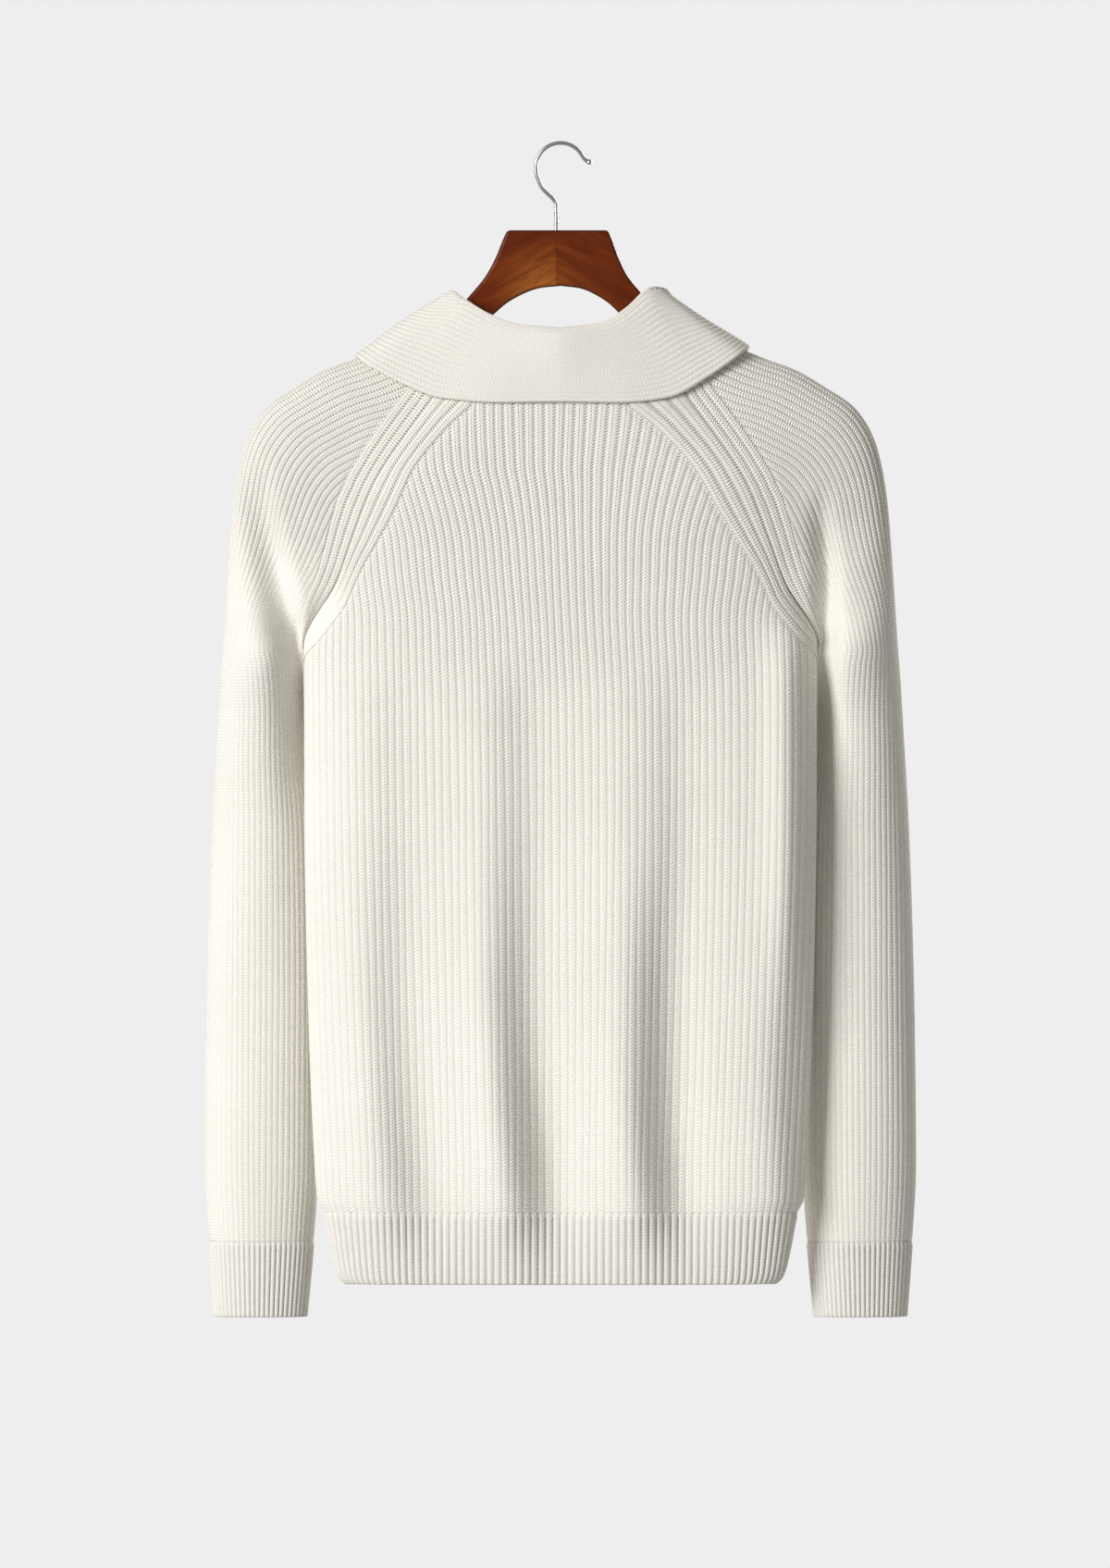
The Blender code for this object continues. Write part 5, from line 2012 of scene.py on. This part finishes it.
@dataclass
class Hook:
    """The wire hook with its blunt tip."""

    radius: float = 1.5
    ball: float = 2.1           # radius of its blunt tip
    circle_height: float = -18.0
    circle_radius: float = 19.4
    stem_x: float = 3.6
    stem_foot: float = -80.6
    stem_bend: float = -47.0
    arc_from: float = 197.0
    arc_to: float = 26.0
    arc_points: int = 12
    sharp_angle: float = 50.0   # degrees past which an edge stays sharp
    neck: tuple[tuple[float, float], ...] = ((5.0, -43.2), (14.2, -33.8))
    end: tuple[tuple[float, float], ...] = ((-19.6, -12.0), (-22.4, -13.4))

    def route(self) -> Array:
        """The wire's centre line, from inside the hanger to its open end.

        Returns:
            Its points in order.
        """
        stem = [(self.stem_x, self.stem_foot), (self.stem_x, self.stem_bend), *self.neck]
        arc = []
        for angle in np.linspace(self.arc_from, self.arc_to, self.arc_points):
            turn = math.radians(angle)
            arc.append((-self.circle_radius * math.cos(turn),
                        self.circle_height + self.circle_radius * math.sin(turn)))
        return spline([(x, 0.0, height) for x, height in (*stem, *arc, *self.end)], 5)

    def build(self, material: bpy.types.Material) -> bpy.types.Object:
        """Make the hook.

        Args:
            material: Its finish.

        Returns:
            The object.
        """
        points = self.route()
        curve = bpy.data.curves.new("hook_line", "CURVE")
        curve.dimensions = "3D"
        line = curve.splines.new("POLY")
        line.points.add(len(points) - 1)
        for spot, point in zip(line.points, points):
            spot.co = (*(point * MM), 1.0)
        curve.bevel_depth = self.radius * MM
        curve.bevel_resolution = 5
        curve.use_fill_caps = True
        guide = bpy.data.objects.new("hook_line", curve)
        wire = bpy.data.meshes.new_from_object(guide)
        bpy.data.objects.remove(guide)
        bpy.data.curves.remove(curve)
        mesh = bmesh.new()
        mesh.from_mesh(wire)
        bpy.data.meshes.remove(wire)
        ball = bmesh.ops.create_uvsphere(mesh, u_segments=20, v_segments=12, radius=self.ball * MM)
        bmesh.ops.translate(mesh, verts=ball["verts"], vec=Vector(points[-1]) * MM)
        for face in mesh.faces:
            face.smooth = True
        obj = make_object("hook_wire", mesh, material)
        obj.data.set_sharp_from_angle(angle=math.radians(self.sharp_angle))
        dress(obj, "hook")
        return obj


# ----------------------------------------------------------------------- stage


@dataclass
class SoftBox:
    """A soft studio light."""

    name: str
    place: tuple[float, float, float]   # metres
    size: tuple[float, float]
    power: float
    target: tuple[float, float, float] = (0.0, 0.0, -0.48)

    def build(self) -> None:
        """Hang the light."""
        light = bpy.data.lights.new(self.name, "AREA")
        light.shape = "RECTANGLE"
        light.size, light.size_y = self.size
        light.energy = self.power
        obj = bpy.data.objects.new(self.name, light)
        obj.location = self.place
        way = Vector(self.target) - Vector(self.place)
        obj.rotation_euler = way.to_track_quat("-Z", "Y").to_euler()
        bpy.context.scene.collection.objects.link(obj)


@dataclass
class Studio:
    """The pale floor, the soft light and the camera behind the garment."""

    scale: float = 0.72             # millimetres in one pixel of the photograph
    frame_height: float = 1695.0    # pixels
    aim: tuple[float, float, float] = (4.3, 0.0, -497.5)
    distance: float = 12000.0
    sensor: float = 36.0
    sight: float = 100.0            # metres
    floor_height: float = -1.3      # metres
    floor_radius: float = 2.6
    backdrop: Colour = (0.855, 0.855, 0.855)
    ambient: float = 0.29
    ambient_tint: Colour = (1.0, 0.965, 0.905)

    def camera(self) -> None:
        """Stand a long lens level with the garment, looking along -Y."""
        data = bpy.data.cameras.new("camera")
        data.sensor_width = self.sensor
        data.lens = self.sensor * self.distance / (self.scale * self.frame_height)
        data.clip_end = self.sight
        obj = bpy.data.objects.new("camera", data)
        x, y, z = self.aim
        obj.location = Vector((x, y + self.distance, z)) * MM
        obj.rotation_euler = (math.radians(90.0), 0.0, math.radians(180.0))
        bpy.context.scene.collection.objects.link(obj)
        bpy.context.scene.camera = obj

    def world(self) -> None:
        """Surround it with a pale backdrop and dimmer fill light."""
        world = bpy.data.worlds.new("studio")
        world.use_nodes = True
        tree = world.node_tree
        back = tree.nodes["Background"]
        back.inputs["Color"].default_value = (*self.ambient_tint, 1.0)
        back.inputs["Strength"].default_value = self.ambient
        seen = tree.nodes.new("ShaderNodeBackground")
        seen.inputs["Color"].default_value = (*self.backdrop, 1.0)
        rays = tree.nodes.new("ShaderNodeLightPath")
        mix = tree.nodes.new("ShaderNodeMixShader")
        tree.links.new(rays.outputs["Is Camera Ray"], mix.inputs[0])
        tree.links.new(back.outputs[0], mix.inputs[1])
        tree.links.new(seen.outputs[0], mix.inputs[2])
        tree.links.new(mix.outputs[0], tree.nodes["World Output"].inputs["Surface"])
        bpy.context.scene.world = world
        bpy.context.scene.view_settings.view_transform = "Standard"

    def floor(self) -> None:
        """Lay the floor."""
        mesh = bmesh.new()
        bmesh.ops.create_circle(mesh, cap_ends=True, radius=self.floor_radius, segments=96)
        obj = make_object("floor", mesh, FloorFinish("pale_floor").build())
        obj.location = (0.0, 0.0, self.floor_height)

    def build(self) -> None:
        """Set up the studio."""
        self.camera()
        self.world()
        self.floor()
        for light in (
            SoftBox("key_light", (4.75, 4.6, 1.35), (2.7, 3.4), 505.0),
            SoftBox("fill_light", (-4.4, 4.2, -0.8), (2.4, 2.4), 18.0),
            SoftBox("front_light", (-2.4, -4.6, 0.6), (2.4, 3.0), 300.0),
        ):
            light.build()


def main() -> None:
    """Build the sweater, its hanger and the studio."""
    logging.basicConfig(level=logging.INFO, format="%(name)s: %(message)s")
    Studio().build()
    knit = KnitFinish("cream_rib_knit").build()
    # The cuffs and hem are the same cream wool, with crest and grooves set darker as painted shade.
    shaded_trim_knit = KnitFinish("cream_trim_knit_shaded", crest=(0.81, 0.787, 0.73), groove=(0.62, 0.602, 0.555),
                      stitch=0.4, holes=0.4).build()
    # The collar is the same cream wool, with its crest set darker as painted shade.
    brushed = KnitFinish("cream_brushed_knit_shaded", crest=(0.81, 0.78, 0.722), stitch=0.25, holes=0.3,
                         fuzz=0.6).build()
    Hanger().build(WoodFinish("red_brown_lacquer").build())
    Hook().build(WireFinish("polished_wire").build())
    back, front = BodyForm(True), BodyForm(False)
    BodyPanel("back_knit", "back", back, NeckShape.SCOOP, Cut(0.432, 0.68, 0.262)).build(knit)
    BodyPanel("front_knit", "front", front, NeckShape.VEE, Cut(0.43, 0.67, 0.25)).build(knit)
    for name, side, crease in (("left", 1.0, SLANTING_CREASE), ("right", -1.0, UPRIGHT_CREASE)):
        arm = SleeveForm(back, front, crease)
        whole, end = f"sleeve_{name}", f"cuff_{name}"
        Sleeve(f"{whole}_knit", whole, side, arm, Cut(0.34, 0.83, 0.165)).build(knit)
        Cuff(f"{end}_knit", end, side, arm, Cut(0.19, 0.0595, 0.0113)).build(shaded_trim_knit)
    HemBand(back, front, Cut(0.80, 0.0562, 0.045)).build(shaded_trim_knit)
    Collar(CollarForm(), Cut(0.86, 0.115, 0.072)).build(brushed)


if __name__ == "__main__":
    main()
